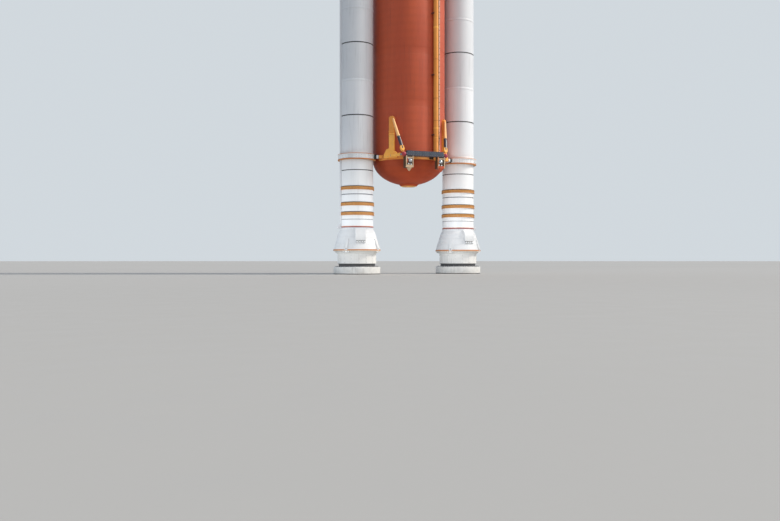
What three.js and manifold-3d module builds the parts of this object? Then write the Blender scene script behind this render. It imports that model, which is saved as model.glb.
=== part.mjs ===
// Half-scale space rocket stack: a foam-covered drop tank hung between two solid boosters,
// each booster standing on a hollow round plinth, with the payload's attach fittings on the
// -Y side. Millimetres of the half-scale model, +Z up, floor at z = 0, boosters in a row on X.

import * as THREE from 'three';
import { mergeVertices } from 'three/addons/utils/BufferGeometryUtils.js';
import Module from 'manifold-3d';

const wasm = await Module();
wasm.setup();

// Driving dimensions. Heights named *_Z are stations above the boosters' standing rim.
const PLINTH_HEIGHT = 1350;
const BOOSTER_X = 3182;
const CASE_R = 928;
const SKIRT_RIM_R = 1345;
const SKIRT_TOP_Z = 1330;
const TANK_R = 2100;
const OUTLINE_SHIFT_Y = 277;      // brings the middle of the whole outline over the origin

const BOOSTER_SIDES = 24;
const NOZZLE_SIDES = 20;
const TANK_SIDES = 40;
const SEAT = 0.3;                 // running gap between faces that rest on each other
const CLEAR = 2;                  // gap round a band or ring that another piece steps over

// Plinth, downwards from its top: foot, recess, drum, flare and rim
const PLINTH = {
  bore: 1000, footR: 1330, footTop: -940, recessR: 1040, drumBottom: -760, drumR: 1100,
  flareBottom: -200, flareR: 1250, flareTop: -60, rimBottom: -40, rimR: 1350,
};

// Booster stations
const DOME_JOINT_Z = 1700;
const AFT_JOINT_Z = 5575;
const MIDDLE_JOINT_Z = 9640;
const FORWARD_JOINT_Z = 13705;
const FORWARD_SKIRT_Z = 17875;
const FRUSTUM_Z = 19500;
const NOSE_CAP_Z = 21025;
const NOSE_R = 435;
const BOOSTER_TIP_Z = 21980;
const RING_Z = [5105, 5445];      // attach ring, bottom and top
const RING_R = 1090;
const RING_FLAT_X = 970;          // the ring is cut flat on the tank's side
const RING_WEB = { r: 1058, flange: 60 };
const STIFFENER = { heights: [2060, 2600, 3500], half: 82, proud: 60 };
const BAND = { height: 120, proud: 14 };  // below each joint between two segments
const MOTORS_ANGLE = 97.6;        // separation motors, from the tank's side of the skirt
const TUNNEL = { width: 130, outer: 1010, top: 18900, fairing: 1180 };

// Nozzle and its bearing, turned about a pivot on the booster's axis
const PIVOT_Z = 1050;
const SOCKET_R = 506;
const BEARING = { outer: 492, inner: 446, from: 45, to: 96 };
const NOZZLE_BALL_R = 432;
const CONE_FLANGE = { r: 640, z: 760, half: 45 };
const NOZZLE_EXIT_Z = 200;
const PIN_R = 34;
const PIN_SIDES = 16;
const PIN_GAP = 0.95;             // leaves 0.3 mm where a turned pin points a corner at its hole

// Tank stations
const DOME_TOP_Z = 5280;
const DOME_DEPTH = 1460;
const DOME_COVER = { r: 500, drop: 80, edge: 25 };  // drum under the dome's middle
const INTERTANK_Z = 17150;
const OXYGEN_Z = 20585;
const OGIVE_Z = 21955;
const OGIVE_ARC_R = 7770;
const TANK_CAP_R = 479;
const TANK_CAP_Z = 26705;
const SPIKE_TIP_Z = 27320;
const RIB = { count: 72, proud: 26 };

// Payload attach hardware on the -Y side
const FRAME_Z = [5095, 5325];     // ring frame round the tank's lower joint
const FRAME_THICK = 32;
const FRAME_BACK_Y = -570;        // the frame leaves the far side of the tank bare
const BALL = { x: 1250, y: -2440, z: 5300, r: 130 };
const BEAM = { x: 1110, depth: 220, bottom: 5200, top: 5490, neckR: 85, overlap: 20 };
const LONGERON = {
  angle: 47.5, half: 160, depth: 150, bottom: 5180, top: 7520, grip: 7350, gripAcross: -130,
  strutZ: 5300,
};
const STRUT_R = { diagonal: [62, 92], lower: 100, side: 95, neck: 60, booster: 105, cup: 140 };
const LUG = { width: 250, length: 370, thick: 170 };
const NECK = { diagonal: 360, side: 250 };  // from the ball's centre to where a strut narrows
const UMBILICAL = {
  x: 950, y: -2340, width: 440, depth: 450, bottom: 4560, port: 4960, portR: 95,
  spout: { width: 240, depth: 200, tip: 4370, tipR: 30 },
  line: { r: 90, from: 4800, to: 4950, inward: 0.7 },
};
const FEEDLINE = {
  angle: 20.7, r: 145, stand: 35, top: 17250, bottom: 5150, footZ: 4820,
  elbow: { inward: 300, rise: 260 }, brackets: [6500, 9875, 13350, 16750],
};
const TRAY = { angle: 32.4, width: 110, proud: 60, bottom: 5340, top: 26200, clips: 9 };
const PRESSURE_LINE = { angle: 28.2, r: 26, stand: 34, bottom: 5400, clips: 13 };
const BIPOD = { z: 17065, foot: 16700, angle: 11.8, reach: 2600, r: 60, yoke: [200, 160, 220] };
const BOOSTER_STRUT = { y: 700, tankY: 855, z: 5300, cup: 90, cupY: 27, sunk: 60 };
const THRUST = { z: 18895, tankR: 180, boosterR: 130 };  // where each booster pushes on the tank

const radians = (degrees) => degrees * Math.PI / 180;

// Finishes: plain colours of the real surfaces
const finish = (colour, roughness, metalness = 0) =>
  new THREE.MeshStandardMaterial({ color: colour, roughness, metalness });
const FINISH = {
  white: () => finish(0xd9dcde, 0.55),
  skirt: () => finish(0xe6e8ea, 0.5),
  foam: () => finish(0x9c4a30, 0.9),
  yellow: () => finish(0xd9a050, 0.75),
  slate: () => finish(0x46525f, 0.6, 0.2),
  dark: () => finish(0x3a3b3d, 0.7, 0.3),
  plate: () => finish(0xcdbfa8, 0.6),
  concrete: () => finish(0xcfd0ce, 0.85),
};

// A solid turned about Z from [radius, z] pairs, bottom first up the outside.
function turned(profile, sides) {
  const points = profile.map(([r, z]) => new THREE.Vector2(r, z));
  return new THREE.LatheGeometry(points, sides).rotateX(Math.PI / 2);
}

// Points of an arc about (0, z) in the profile plane, angles in degrees from +Z.
function arc(radius, z, from, to, steps) {
  return Array.from({ length: steps + 1 }, (_, i) => {
    const a = radians(from + (to - from) * i / steps);
    return [radius * Math.sin(a), z + radius * Math.cos(a)];
  });
}

// An outline of [out, z] pairs in the plane through the axis at +X, given a width across it.
function radialPlate(outline, width) {
  const shape = new THREE.Shape(outline.map(([r, z]) => new THREE.Vector2(r, z)));
  return new THREE.ExtrudeGeometry(shape, { depth: width, bevelEnabled: false, steps: 1 })
    .rotateX(Math.PI / 2)
    .translate(0, width / 2, 0);
}

function box(x, y, z, at) {
  return new THREE.BoxGeometry(x, y, z).translate(...at);
}

// A round bar between two points.
function bar(start, end, radius, sides = 12, endRadius = radius) {
  const a = new THREE.Vector3(...start);
  const b = new THREE.Vector3(...end);
  const along = b.clone().sub(a);
  const turn = new THREE.Quaternion()
    .setFromUnitVectors(new THREE.Vector3(0, 1, 0), along.clone().normalize());
  return new THREE.CylinderGeometry(endRadius, radius, along.length(), sides)
    .applyQuaternion(turn)
    .translate(...a.add(b).multiplyScalar(0.5).toArray());
}

// The point a distance before the end of a line.
function before(start, end, distance) {
  const a = new THREE.Vector3(...start);
  const b = new THREE.Vector3(...end);
  return b.lerp(a, distance / b.distanceTo(a)).toArray();
}

// The place at an angle from -Y towards +X, a distance from the tank's axis.
function around(angle, distance, z) {
  return [distance * Math.sin(radians(angle)), -distance * Math.cos(radians(angle)), z];
}

function toSolid(geometry) {
  const bare = geometry.clone();
  bare.deleteAttribute('normal');
  bare.deleteAttribute('uv');
  const merged = mergeVertices(bare, 1e-3);
  return new wasm.Manifold(new wasm.Mesh({
    numProp: 3,
    vertProperties: new Float32Array(merged.attributes.position.array),
    triVerts: new Uint32Array(merged.index.array),
  }));
}

function toGeometry(solid) {
  const mesh = solid.getMesh();
  const geometry = new THREE.BufferGeometry();
  geometry.setAttribute('position', new THREE.BufferAttribute(mesh.vertProperties, 3));
  geometry.setIndex(new THREE.BufferAttribute(mesh.triVerts, 1));
  geometry.computeVertexNormals();
  return geometry;
}

const fuse = (...geometries) =>
  toGeometry(geometries.map(toSolid).reduce((whole, next) => whole.add(next)));

const cut = (geometry, ...tools) =>
  toGeometry(tools.map(toSolid).reduce((rest, tool) => rest.subtract(tool), toSolid(geometry)));

const stack = new THREE.Group();
stack.position.set(0, OUTLINE_SHIFT_Y, PLINTH_HEIGHT);

function add(group, name, geometry, material) {
  const mesh = new THREE.Mesh(geometry, material);
  mesh.name = name;
  group.add(mesh);
  return mesh;
}

// Boosters. Everything is built for the booster whose tank side is +X, then mirrored by side.
function plinth() {
  const p = PLINTH;
  return turned([
    [p.bore, -PLINTH_HEIGHT], [p.footR, -PLINTH_HEIGHT], [p.footR, p.footTop],
    [p.recessR, p.footTop], [p.recessR, p.drumBottom], [p.drumR, p.drumBottom],
    [p.drumR, p.flareBottom], [p.flareR, p.flareTop], [p.rimR, p.rimBottom], [p.rimR, 0],
    [p.bore, 0], [p.bore, -PLINTH_HEIGHT],
  ], BOOSTER_SIDES);
}

function aftSkirt(side) {
  const shell = turned([
    [0, 0], [SKIRT_RIM_R, 0], [SKIRT_RIM_R, 60], [1325, 60], [1045, 1000], [960, 1150],
    [945, 1175], [945, SKIRT_TOP_Z], [0, SKIRT_TOP_Z],
  ], BOOSTER_SIDES);
  const hollow = turned([
    [0, -1], [1285, -1], [1275, 60], [1000, 1000], [895, 1160], [895, SKIRT_TOP_Z + 1],
    [0, SKIRT_TOP_Z + 1],
  ], BOOSTER_SIDES);
  const postOutline = [[1150, 0], [SKIRT_RIM_R, 0], [SKIRT_RIM_R, 150], [1190, 640], [1050, 640]];
  const posts = [45, 135, 225, 315].map((a) =>
    radialPlate(postOutline, 300).rotateZ(radians(a)));
  const motorOutline = [[1000, 420], [1255, 420], [1150, 1080], [1010, 1250], [900, 1250],
    [900, 900]];
  const motors = radialPlate(motorOutline, 600).rotateZ(radians(side * MOTORS_ANGLE));
  return cut(fuse(shell, motors, ...posts), hollow);
}

// Lower closure of the motor, with a round socket for the nozzle's bearing.
function aftDome() {
  const body = turned([
    ...arc(SOCKET_R, PIVOT_Z, 22, 96.8, 6), [600, 990], [600, 1050], [760, 1120], [850, 1220],
    [880, SKIRT_TOP_Z], [CASE_R, SKIRT_TOP_Z], [CASE_R, DOME_JOINT_Z],
    [SOCKET_R * Math.sin(radians(22)), DOME_JOINT_Z], ...arc(SOCKET_R, PIVOT_Z, 22, 22, 1),
  ], BOOSTER_SIDES);
  const hole = bar([-700, 0, PIVOT_Z], [700, 0, PIVOT_Z], PIN_R + PIN_GAP, PIN_SIDES);
  return cut(body, hole);
}

// A motor segment from one joint to the next. It ends in a raised band, below which it may
// have stiffener rings at the heights given.
function segment(bottom, top, ringHeights = []) {
  const rings = ringHeights.flatMap((z) => [
    [CASE_R, z - STIFFENER.half], [CASE_R + STIFFENER.proud, z - STIFFENER.half],
    [CASE_R + STIFFENER.proud, z + STIFFENER.half], [CASE_R, z + STIFFENER.half],
  ]);
  return turned([
    [0, bottom], [CASE_R, bottom], ...rings, [CASE_R, top - BAND.height],
    [CASE_R + BAND.proud, top - BAND.height], [CASE_R + BAND.proud, top], [0, top],
  ], BOOSTER_SIDES);
}

function attachRing() {
  const [bottom, top] = RING_Z;
  const inner = CASE_R + SEAT;
  const { r, flange } = RING_WEB;
  const ring = turned([
    [inner, bottom], [RING_R, bottom], [RING_R, bottom + flange], [r, bottom + flange],
    [r, top - flange], [RING_R, top - flange], [RING_R, top], [inner, top], [inner, bottom],
  ], BOOSTER_SIDES);
  const middle = (bottom + top) / 2;
  const tankSide = box(400, 3000, 1000, [RING_FLAT_X + 200, 0, middle]);
  const passage = box(
    400, TUNNEL.width + 10, 1000, [-(TUNNEL.outer + 3) + 200, 0, middle]);
  return cut(ring, tankSide, passage);
}

const frustum = () => turned([
  [0, FRUSTUM_Z], [CASE_R, FRUSTUM_Z], [CASE_R, FRUSTUM_Z + 60], [NOSE_R, NOSE_CAP_Z],
  [0, NOSE_CAP_Z],
], BOOSTER_SIDES);

const noseCap = () => turned([
  [0, NOSE_CAP_Z], [NOSE_R, NOSE_CAP_Z], [432, NOSE_CAP_Z + 120], [360, NOSE_CAP_Z + 460],
  [225, NOSE_CAP_Z + 760], [95, BOOSTER_TIP_Z - 40], [0, BOOSTER_TIP_Z],
], BOOSTER_SIDES);

// The tunnel lies on the case and steps over its rings and bands.
function systemsTunnel() {
  const seat = CASE_R + SEAT;
  const rings = [
    ...STIFFENER.heights.map((z) => [z - STIFFENER.half, z + STIFFENER.half, STIFFENER.proud]),
    ...[AFT_JOINT_Z, MIDDLE_JOINT_Z, FORWARD_JOINT_Z, FORWARD_SKIRT_Z]
      .map((z) => [z - BAND.height, z, BAND.proud]),
  ];
  const steps = rings.flatMap(([from, to, proud]) => [
    [seat, from - CLEAR], [seat + proud, from - CLEAR],
    [seat + proud, to + CLEAR], [seat, to + CLEAR],
  ]);
  const skirtSeat = 945 + SEAT;
  return radialPlate([
    [skirtSeat, 1200], [TUNNEL.fairing, 1270], [TUNNEL.fairing, 1350], [TUNNEL.outer, 1520],
    [TUNNEL.outer, TUNNEL.top - 80], [seat + 10, TUNNEL.top], [seat, TUNNEL.top],
    ...steps.reverse(), [seat, SKIRT_TOP_Z + 1], [skirtSeat, SKIRT_TOP_Z + 1],
  ], TUNNEL.width).rotateZ(Math.PI);
}

function bearing() {
  const inner = arc(BEARING.inner, PIVOT_Z, BEARING.from, BEARING.to, 4);
  const outer = arc(BEARING.outer, PIVOT_Z, BEARING.to, BEARING.from, 4);
  const shell = turned([...inner, ...outer, inner[0]], NOZZLE_SIDES);
  const middle = (BEARING.inner + BEARING.outer) / 2;
  const pins = [-1, 1].map((s) =>
    bar([s * middle, 0, PIVOT_Z], [s * 575, 0, PIVOT_Z], PIN_R, PIN_SIDES));
  const hole = bar([0, -700, PIVOT_Z], [0, 700, PIVOT_Z], PIN_R + PIN_GAP, PIN_SIDES);
  return cut(fuse(shell, ...pins), hole);
}

// Throat and ball of the nozzle, down to the flange that carries the exit cone.
function nozzle() {
  const { r, z, half } = CONE_FLANGE;
  const throat = turned([
    [0, 1100], [330, 1100], [330, 960], [515, z], [r, z], [r, z + half], [548, z + half],
    ...arc(NOZZLE_BALL_R, PIVOT_Z, 108, 40, 5), [0, 1381],
  ], NOZZLE_SIDES);
  const pins = [-1, 1].map((s) =>
    bar([0, s * 400, PIVOT_Z], [0, s * 480, PIVOT_Z], PIN_R, PIN_SIDES));
  return fuse(throat, ...pins);
}

function exitCone() {
  const { r, z, half } = CONE_FLANGE;
  return turned([
    [515, z], [665, 500], [775, NOZZLE_EXIT_Z], [815, NOZZLE_EXIT_Z], [815, 240], [793, 250],
    [690, 500], [560, z - half], [r, z - half], [r, z], [515, z],
  ], NOZZLE_SIDES);
}

for (const [name, side] of [['left', -1], ['right', 1]]) {
  const booster = new THREE.Group();
  booster.position.x = side * BOOSTER_X;
  if (side > 0) booster.rotation.z = Math.PI;
  stack.add(booster);
  const pieces = [
    ['plinth', plinth(), FINISH.concrete],
    ['aft_skirt', aftSkirt(side), FINISH.skirt],
    ['aft_dome', aftDome(), FINISH.white],
    ['aft_segment', segment(DOME_JOINT_Z, AFT_JOINT_Z, STIFFENER.heights), FINISH.white],
    ['attach_ring', attachRing(), FINISH.white],
    ['aft_center_segment', segment(AFT_JOINT_Z, MIDDLE_JOINT_Z), FINISH.white],
    ['forward_center_segment', segment(MIDDLE_JOINT_Z, FORWARD_JOINT_Z), FINISH.white],
    ['forward_segment', segment(FORWARD_JOINT_Z, FORWARD_SKIRT_Z), FINISH.white],
    ['forward_skirt', segment(FORWARD_SKIRT_Z, FRUSTUM_Z), FINISH.white],
    ['frustum', frustum(), FINISH.white],
    ['booster_nose', noseCap(), FINISH.white],
    ['systems_tunnel', systemsTunnel(), FINISH.white],
    ['flex_bearing', bearing(), FINISH.dark],
    ['nozzle', nozzle(), FINISH.dark],
    ['exit_cone', exitCone(), FINISH.dark],
  ];
  for (const [piece, geometry, material] of pieces) {
    add(booster, `${name}_${piece}`, geometry, material());
  }
}

// Tank, from the dome up. The dome's half ellipse starts at a flat cover plate.
function domeArc(grow) {
  const start = Math.acos(DOME_COVER.r / TANK_R);
  return Array.from({ length: 9 }, (_, i) => {
    const a = start * (1 - i / 8);
    return [(TANK_R + grow) * Math.cos(a), DOME_TOP_Z - (DOME_DEPTH + grow) * Math.sin(a)];
  });
}

function hydrogenTank() {
  const { r, drop, edge } = DOME_COVER;
  const bottom = DOME_TOP_Z - DOME_DEPTH - drop;
  return turned([
    [0, bottom], [r - edge, bottom], [r, bottom + edge], ...domeArc(0),
    [TANK_R, INTERTANK_Z], [0, INTERTANK_Z],
  ], TANK_SIDES);
}

// The tank's radius at a height on the ogive, an arc that starts upright.
function ogiveRadius(z) {
  return Math.sqrt(OGIVE_ARC_R ** 2 - (z - OGIVE_Z) ** 2) - OGIVE_ARC_R + TANK_R;
}

// The intertank's wall stands in and out in square ribs.
function intertank() {
  const step = 360 / RIB.count;
  const outline = [];
  for (let i = 0; i < RIB.count; i += 1) {
    for (const [share, r] of [[0, RIB.proud], [0.5, RIB.proud], [0.5, 0], [1, 0]]) {
      const a = radians((i + share) * step);
      outline.push(new THREE.Vector2(
        (TANK_R + r) * Math.cos(a), (TANK_R + r) * Math.sin(a)));
    }
  }
  return new THREE.ExtrudeGeometry(new THREE.Shape(outline), {
    depth: OXYGEN_Z - INTERTANK_Z, bevelEnabled: false, steps: 1,
  }).translate(0, 0, INTERTANK_Z);
}

function ogiveArc(grow) {
  return Array.from({ length: 9 }, (_, i) => {
    const z = OGIVE_Z + (TANK_CAP_Z - OGIVE_Z) * i / 8;
    return [ogiveRadius(z) + grow, z];
  });
}

const oxygenTank = () =>
  turned([[0, OXYGEN_Z], [TANK_R, OXYGEN_Z], ...ogiveArc(0), [0, TANK_CAP_Z]], TANK_SIDES);

const tankNose = () => turned([
  [0, TANK_CAP_Z], [TANK_CAP_R, TANK_CAP_Z], [120, 27060], [45, 27080], [40, 27260],
  [0, SPIKE_TIP_Z],
], 24);

add(stack, 'hydrogen_tank', hydrogenTank(), FINISH.foam());
add(stack, 'intertank', intertank(), FINISH.foam());
add(stack, 'oxygen_tank', oxygenTank(), FINISH.foam());
add(stack, 'tank_nose', tankNose(), FINISH.foam());

// What the fittings are cut by, so that each lies on the tank or on a booster's ring.
const ribbedR = (TANK_R + RIB.proud) / Math.cos(Math.PI / TANK_SIDES) + SEAT;
const tankBlank = turned([
  [0, DOME_TOP_Z - DOME_DEPTH], ...domeArc(2 * SEAT), [TANK_R + SEAT, INTERTANK_Z - SEAT],
  [ribbedR, INTERTANK_Z - SEAT], [ribbedR, OXYGEN_Z + SEAT], [TANK_R + SEAT, OXYGEN_Z + SEAT],
  ...ogiveArc(2 * SEAT), [0, TANK_CAP_Z],
], TANK_SIDES);
const frameBlank = turned([
  [0, FRAME_Z[0] - SEAT], [TANK_R + FRAME_THICK + SEAT, FRAME_Z[0] - SEAT],
  [TANK_R + FRAME_THICK + SEAT, FRAME_Z[1] + SEAT], [0, FRAME_Z[1] + SEAT],
], TANK_SIDES);

// Shapes drawn facing +X are turned to an angle from -Y towards +X.
const facing = (geometry, angle) => geometry.rotateZ(radians(angle - 90));

// A plate seen from outside the tank: [across, z] pairs, standing out from one distance to another.
function frontPlate(outline, from, to) {
  const shape = new THREE.Shape(outline.map(([across, z]) => new THREE.Vector2(across, z)));
  const outward = new THREE.Matrix4().makeBasis(
    new THREE.Vector3(0, 1, 0), new THREE.Vector3(0, 0, 1), new THREE.Vector3(1, 0, 0));
  return new THREE.ExtrudeGeometry(shape, { depth: to - from, bevelEnabled: false, steps: 1 })
    .applyMatrix4(outward)
    .translate(from, 0, 0);
}

// Band round the tank's lower joint that the attach members share.
function ringFrame() {
  const band = turned([
    [TANK_R + SEAT, FRAME_Z[0]], [TANK_R + FRAME_THICK, FRAME_Z[0]],
    [TANK_R + FRAME_THICK, FRAME_Z[1]], [TANK_R + SEAT, FRAME_Z[1]],
    [TANK_R + SEAT, FRAME_Z[0]],
  ], TANK_SIDES);
  const farSide = 2 * TANK_R;
  return cut(band, box(3 * TANK_R, farSide, 1000,
    [0, FRAME_BACK_Y + farSide / 2, (FRAME_Z[0] + FRAME_Z[1]) / 2]));
}

// Upright member on the tank's wall, widened at its foot towards the booster's strut.
function longeron(side) {
  const { half, bottom, top } = LONGERON;
  const outline = [
    [-300, bottom], [490, bottom], [490, bottom + 190], [320, bottom + 480], [half, bottom + 540],
    [half, top - 100], [half - 70, top], [70 - half, top], [-half, top - 100],
    [-half, bottom + 400], [-300, bottom + 300],
  ].map(([across, z]) => [side * across, z]);
  const plate = frontPlate(outline, TANK_R - 70, TANK_R + LONGERON.depth);
  return cut(facing(plate, side * LONGERON.angle), tankBlank, frameBlank);
}

// Cuts a strut off where it meets the outer face of its longeron.
function longeronFace(side, z) {
  const thick = 400;
  const out = TANK_R + LONGERON.depth + SEAT - thick / 2;
  return facing(box(thick, 1100, 1000, [out, 0, z]), side * LONGERON.angle);
}

// Where the diagonal meets its longeron, off the longeron's middle.
function gripPoint(side) {
  const { angle, depth, grip, gripAcross } = LONGERON;
  const [x, y] = around(side * angle, TANK_R + depth + 20, grip);
  const a = radians(side * angle);
  const across = side * gripAcross;
  return [x + across * Math.cos(a), y + across * Math.sin(a), grip];
}

const ballCentre = (side) => [side * BALL.x, BALL.y, BALL.z];

const ball = (side, grow = 0) =>
  new THREE.SphereGeometry(BALL.r + grow, 14, 9).translate(...ballCentre(side));

// A round-ended lug centred on a line's end, its length along the line and its sides flat.
function lug(from, to) {
  const { width, length, thick } = LUG;
  const straight = length - width;
  const shape = new THREE.Shape()
    .moveTo(width / 2, -straight / 2)
    .lineTo(width / 2, straight / 2)
    .absarc(0, straight / 2, width / 2, 0, Math.PI)
    .lineTo(-width / 2, -straight / 2)
    .absarc(0, -straight / 2, width / 2, Math.PI, 2 * Math.PI);
  const along = new THREE.Vector3(...to).sub(new THREE.Vector3(...from)).normalize();
  const across = new THREE.Vector3(0, -1, 0).cross(along).normalize();
  const turn = new THREE.Matrix4().makeBasis(across, along, across.clone().cross(along));
  return new THREE.ExtrudeGeometry(shape, {
    depth: thick, bevelEnabled: false, steps: 1, curveSegments: 6,
  }).translate(0, 0, -thick / 2).applyMatrix4(turn).translate(...to);
}

// Thin at the top, thick in its lower half, with a lug above the ball.
function diagonal(side) {
  const start = gripPoint(side);
  const end = ballCentre(side);
  const middle = start.map((v, i) => (v + end[i]) / 2);
  const neck = before(start, end, NECK.diagonal);
  const strut = fuse(
    bar(start, middle, STRUT_R.diagonal[0], 12, STRUT_R.diagonal[1]),
    bar(middle, neck, STRUT_R.lower),
    bar(neck, end, STRUT_R.neck),
    lug(start, neck),
  );
  return cut(strut, longeronFace(side, LONGERON.grip), ball(side, SEAT));
}

function sideStrut(side) {
  const start = around(side * LONGERON.angle, TANK_R + LONGERON.depth - 20, LONGERON.strutZ);
  const end = ballCentre(side);
  const neck = before(start, end, NECK.side);
  const strut = fuse(bar(start, neck, STRUT_R.side), bar(neck, end, STRUT_R.neck));
  return cut(strut, longeronFace(side, LONGERON.strutZ), ball(side, SEAT));
}

function crossbeam() {
  const { x, depth, bottom, top, neckR, overlap } = BEAM;
  const beam = box(2 * x, depth, top - bottom, [0, BALL.y, (bottom + top) / 2]);
  const necks = [-1, 1].map((s) => bar([s * (x - overlap), BALL.y, BALL.z],
    [s * BALL.x, BALL.y, BALL.z], neckR));
  return fuse(beam, ...necks, ball(-1), ball(1));
}

function umbilicalBox(side, grow = 0) {
  const { x, y, width, depth, bottom } = UMBILICAL;
  const top = BEAM.bottom - SEAT;
  return box(width + 2 * grow, depth + 2 * grow, top - bottom + 2 * grow,
    [side * x, y, (top + bottom) / 2]);
}

// Box with a round port facing out and a spout that tapers down at its front. The left one has
// its own line into the dome; the feedline serves the right one.
function umbilical(side) {
  const { x, y, depth, bottom, port, portR, spout, line } = UMBILICAL;
  const front = y - depth / 2;
  const corner = Math.SQRT1_2 * spout.width;
  const taper = new THREE.CylinderGeometry(corner, spout.tipR, bottom - spout.tip + CLEAR, 4, 1)
    .rotateY(Math.PI / 4)
    .rotateX(Math.PI / 2)
    .scale(1, spout.depth / spout.width, 1)
    .translate(side * x, front + spout.depth / 2, (bottom + spout.tip + CLEAR) / 2);
  const coupling = new THREE.SphereGeometry(portR, 12, 8).translate(side * x, front, port);
  const ends = [[side * x, y, line.from], [side * x * line.inward, y * line.inward, line.to]];
  const lines = side < 0 ? [bar(...ends, line.r)] : [];
  return cut(fuse(umbilicalBox(side), taper, coupling, ...lines), tankBlank, frameBlank);
}

function feedline() {
  const { angle, r, stand, top, bottom, footZ, elbow, brackets } = FEEDLINE;
  const out = TANK_R + stand + r;
  const pipe = bar(around(angle, out, bottom), around(angle, out, top), r, 14);
  const bend = bar(around(angle, out, top - 40),
    around(angle, out - elbow.inward, top + elbow.rise), r, 14);
  const foot = bar(around(angle, out, bottom + 40), [UMBILICAL.x, UMBILICAL.y, footZ], r * 0.8, 14);
  const feet = brackets.map((z) =>
    facing(box(out - TANK_R + 60, 2 * r + 110, 90, [(out + TANK_R - 60) / 2, 0, z]), angle));
  return cut(fuse(pipe, bend, foot, ...feet), tankBlank, umbilicalBox(1, SEAT), frameBlank);
}

// The tray runs up the wall and on over the ogive, on raised feet.
function cableTray() {
  const { angle, width, proud, bottom, top, clips } = TRAY;
  const over = ogiveArc(0).filter(([, z]) => z < top);
  const outer = [[TANK_R, bottom], ...over, [ogiveRadius(top), top]];
  const outline = [
    ...outer.map(([r, z]) => [r + proud, z]),
    ...outer.reverse().map(([r, z]) => [r - 40, z]),
  ];
  const pitch = (OGIVE_Z - bottom) / clips;
  const feet = Array.from({ length: clips }, (_, i) =>
    box(60 + proud, width + 70, 80, [TANK_R + proud / 2 - 18, 0, bottom + pitch * (i + 0.5)]));
  return cut(facing(fuse(radialPlate(outline, width), ...feet), angle), tankBlank);
}

// Thin line beside the tray, held off the wall by clips.
function pressureLine() {
  const { angle, r, stand, bottom, clips } = PRESSURE_LINE;
  const out = TANK_R + stand + r;
  const pipe = bar(around(angle, out, bottom), around(angle, out, OXYGEN_Z), r, 8);
  const pitch = (OXYGEN_Z - bottom) / clips;
  const feet = Array.from({ length: clips }, (_, i) => facing(
    box(2 * stand + r, 4 * r, 50, [TANK_R + stand - r / 2, 0, bottom + pitch * (i + 0.5)]), angle));
  return cut(fuse(pipe, ...feet), tankBlank);
}

function bipod() {
  const { z, foot, angle, reach, r, yoke } = BIPOD;
  const legs = [-1, 1].map((s) => bar(around(s * angle, TANK_R - 60, foot), [0, -reach, z], r));
  return cut(fuse(box(...yoke, [0, -reach, z]), ...legs), tankBlank);
}

// Strut from a booster's ring to the tank, with a cup at the booster's end.
function boosterStrut(side, front) {
  const { y, tankY, z, cup, cupY, sunk } = BOOSTER_STRUT;
  const ringX = BOOSTER_X - Math.sqrt(RING_R ** 2 - y ** 2);
  const inside = [side * (ringX + sunk), front * y, z];
  const tankEnd = [side * Math.sqrt(TANK_R ** 2 - tankY ** 2), front * tankY, z];
  const cupEnd = [side * (ringX - cup), front * (y + cupY), z];
  const strut = fuse(bar(inside, tankEnd, STRUT_R.booster), bar(inside, cupEnd, STRUT_R.cup));
  const ring = turned([[0, 4800], [RING_R + SEAT, 4800], [RING_R + SEAT, 5800], [0, 5800]],
    BOOSTER_SIDES).translate(side * BOOSTER_X, 0, 0);
  return cut(strut, ring, tankBlank, frameBlank);
}

function thrustFitting(side) {
  const tankFace = TANK_R + RIB.proud + SEAT;
  const boosterFace = BOOSTER_X - CASE_R - SEAT;
  const { z, tankR, boosterR } = THRUST;
  return bar([side * tankFace, 0, z], [side * boosterFace, 0, z], tankR, 20, boosterR);
}

add(stack, 'ring_frame', ringFrame(), FINISH.yellow());
add(stack, 'crossbeam', crossbeam(), FINISH.slate());
add(stack, 'feedline', feedline(), FINISH.yellow());
add(stack, 'cable_tray', cableTray(), FINISH.white());
add(stack, 'pressure_line', pressureLine(), FINISH.yellow());
add(stack, 'bipod', bipod(), FINISH.foam());
for (const [name, side] of [['left', -1], ['right', 1]]) {
  add(stack, `${name}_longeron`, longeron(side), FINISH.yellow());
  add(stack, `${name}_diagonal`, diagonal(side), FINISH.yellow());
  add(stack, `${name}_side_strut`, sideStrut(side), FINISH.yellow());
  add(stack, `${name}_umbilical`, umbilical(side), FINISH.plate());
  add(stack, `${name}_front_strut`, boosterStrut(side, -1), FINISH.white());
  add(stack, `${name}_rear_strut`, boosterStrut(side, 1), FINISH.white());
  add(stack, `${name}_thrust_fitting`, thrustFitting(side), FINISH.white());
}

export default stack;
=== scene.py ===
"""Dresses the half-scale space rocket stack: a foam-covered drop tank between two solid boosters.

Everything is in metres in the frame's own axes: +Z up, boosters in a row on X, the payload's
attach hardware on the -Y side. Each sub-assembly has its own axes, whose heights count from the
boosters' standing rim. A part that repeats round an axis is drawn facing +X.
"""

import logging
from dataclasses import dataclass, replace
from enum import Enum
from functools import partial
from itertools import product
from math import acos, atan2, cos, degrees, pi, radians, sin, sqrt, tan
from typing import Any, Callable, Iterable, Optional, Sequence

import bpy
from mathutils import Matrix, Vector

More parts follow.
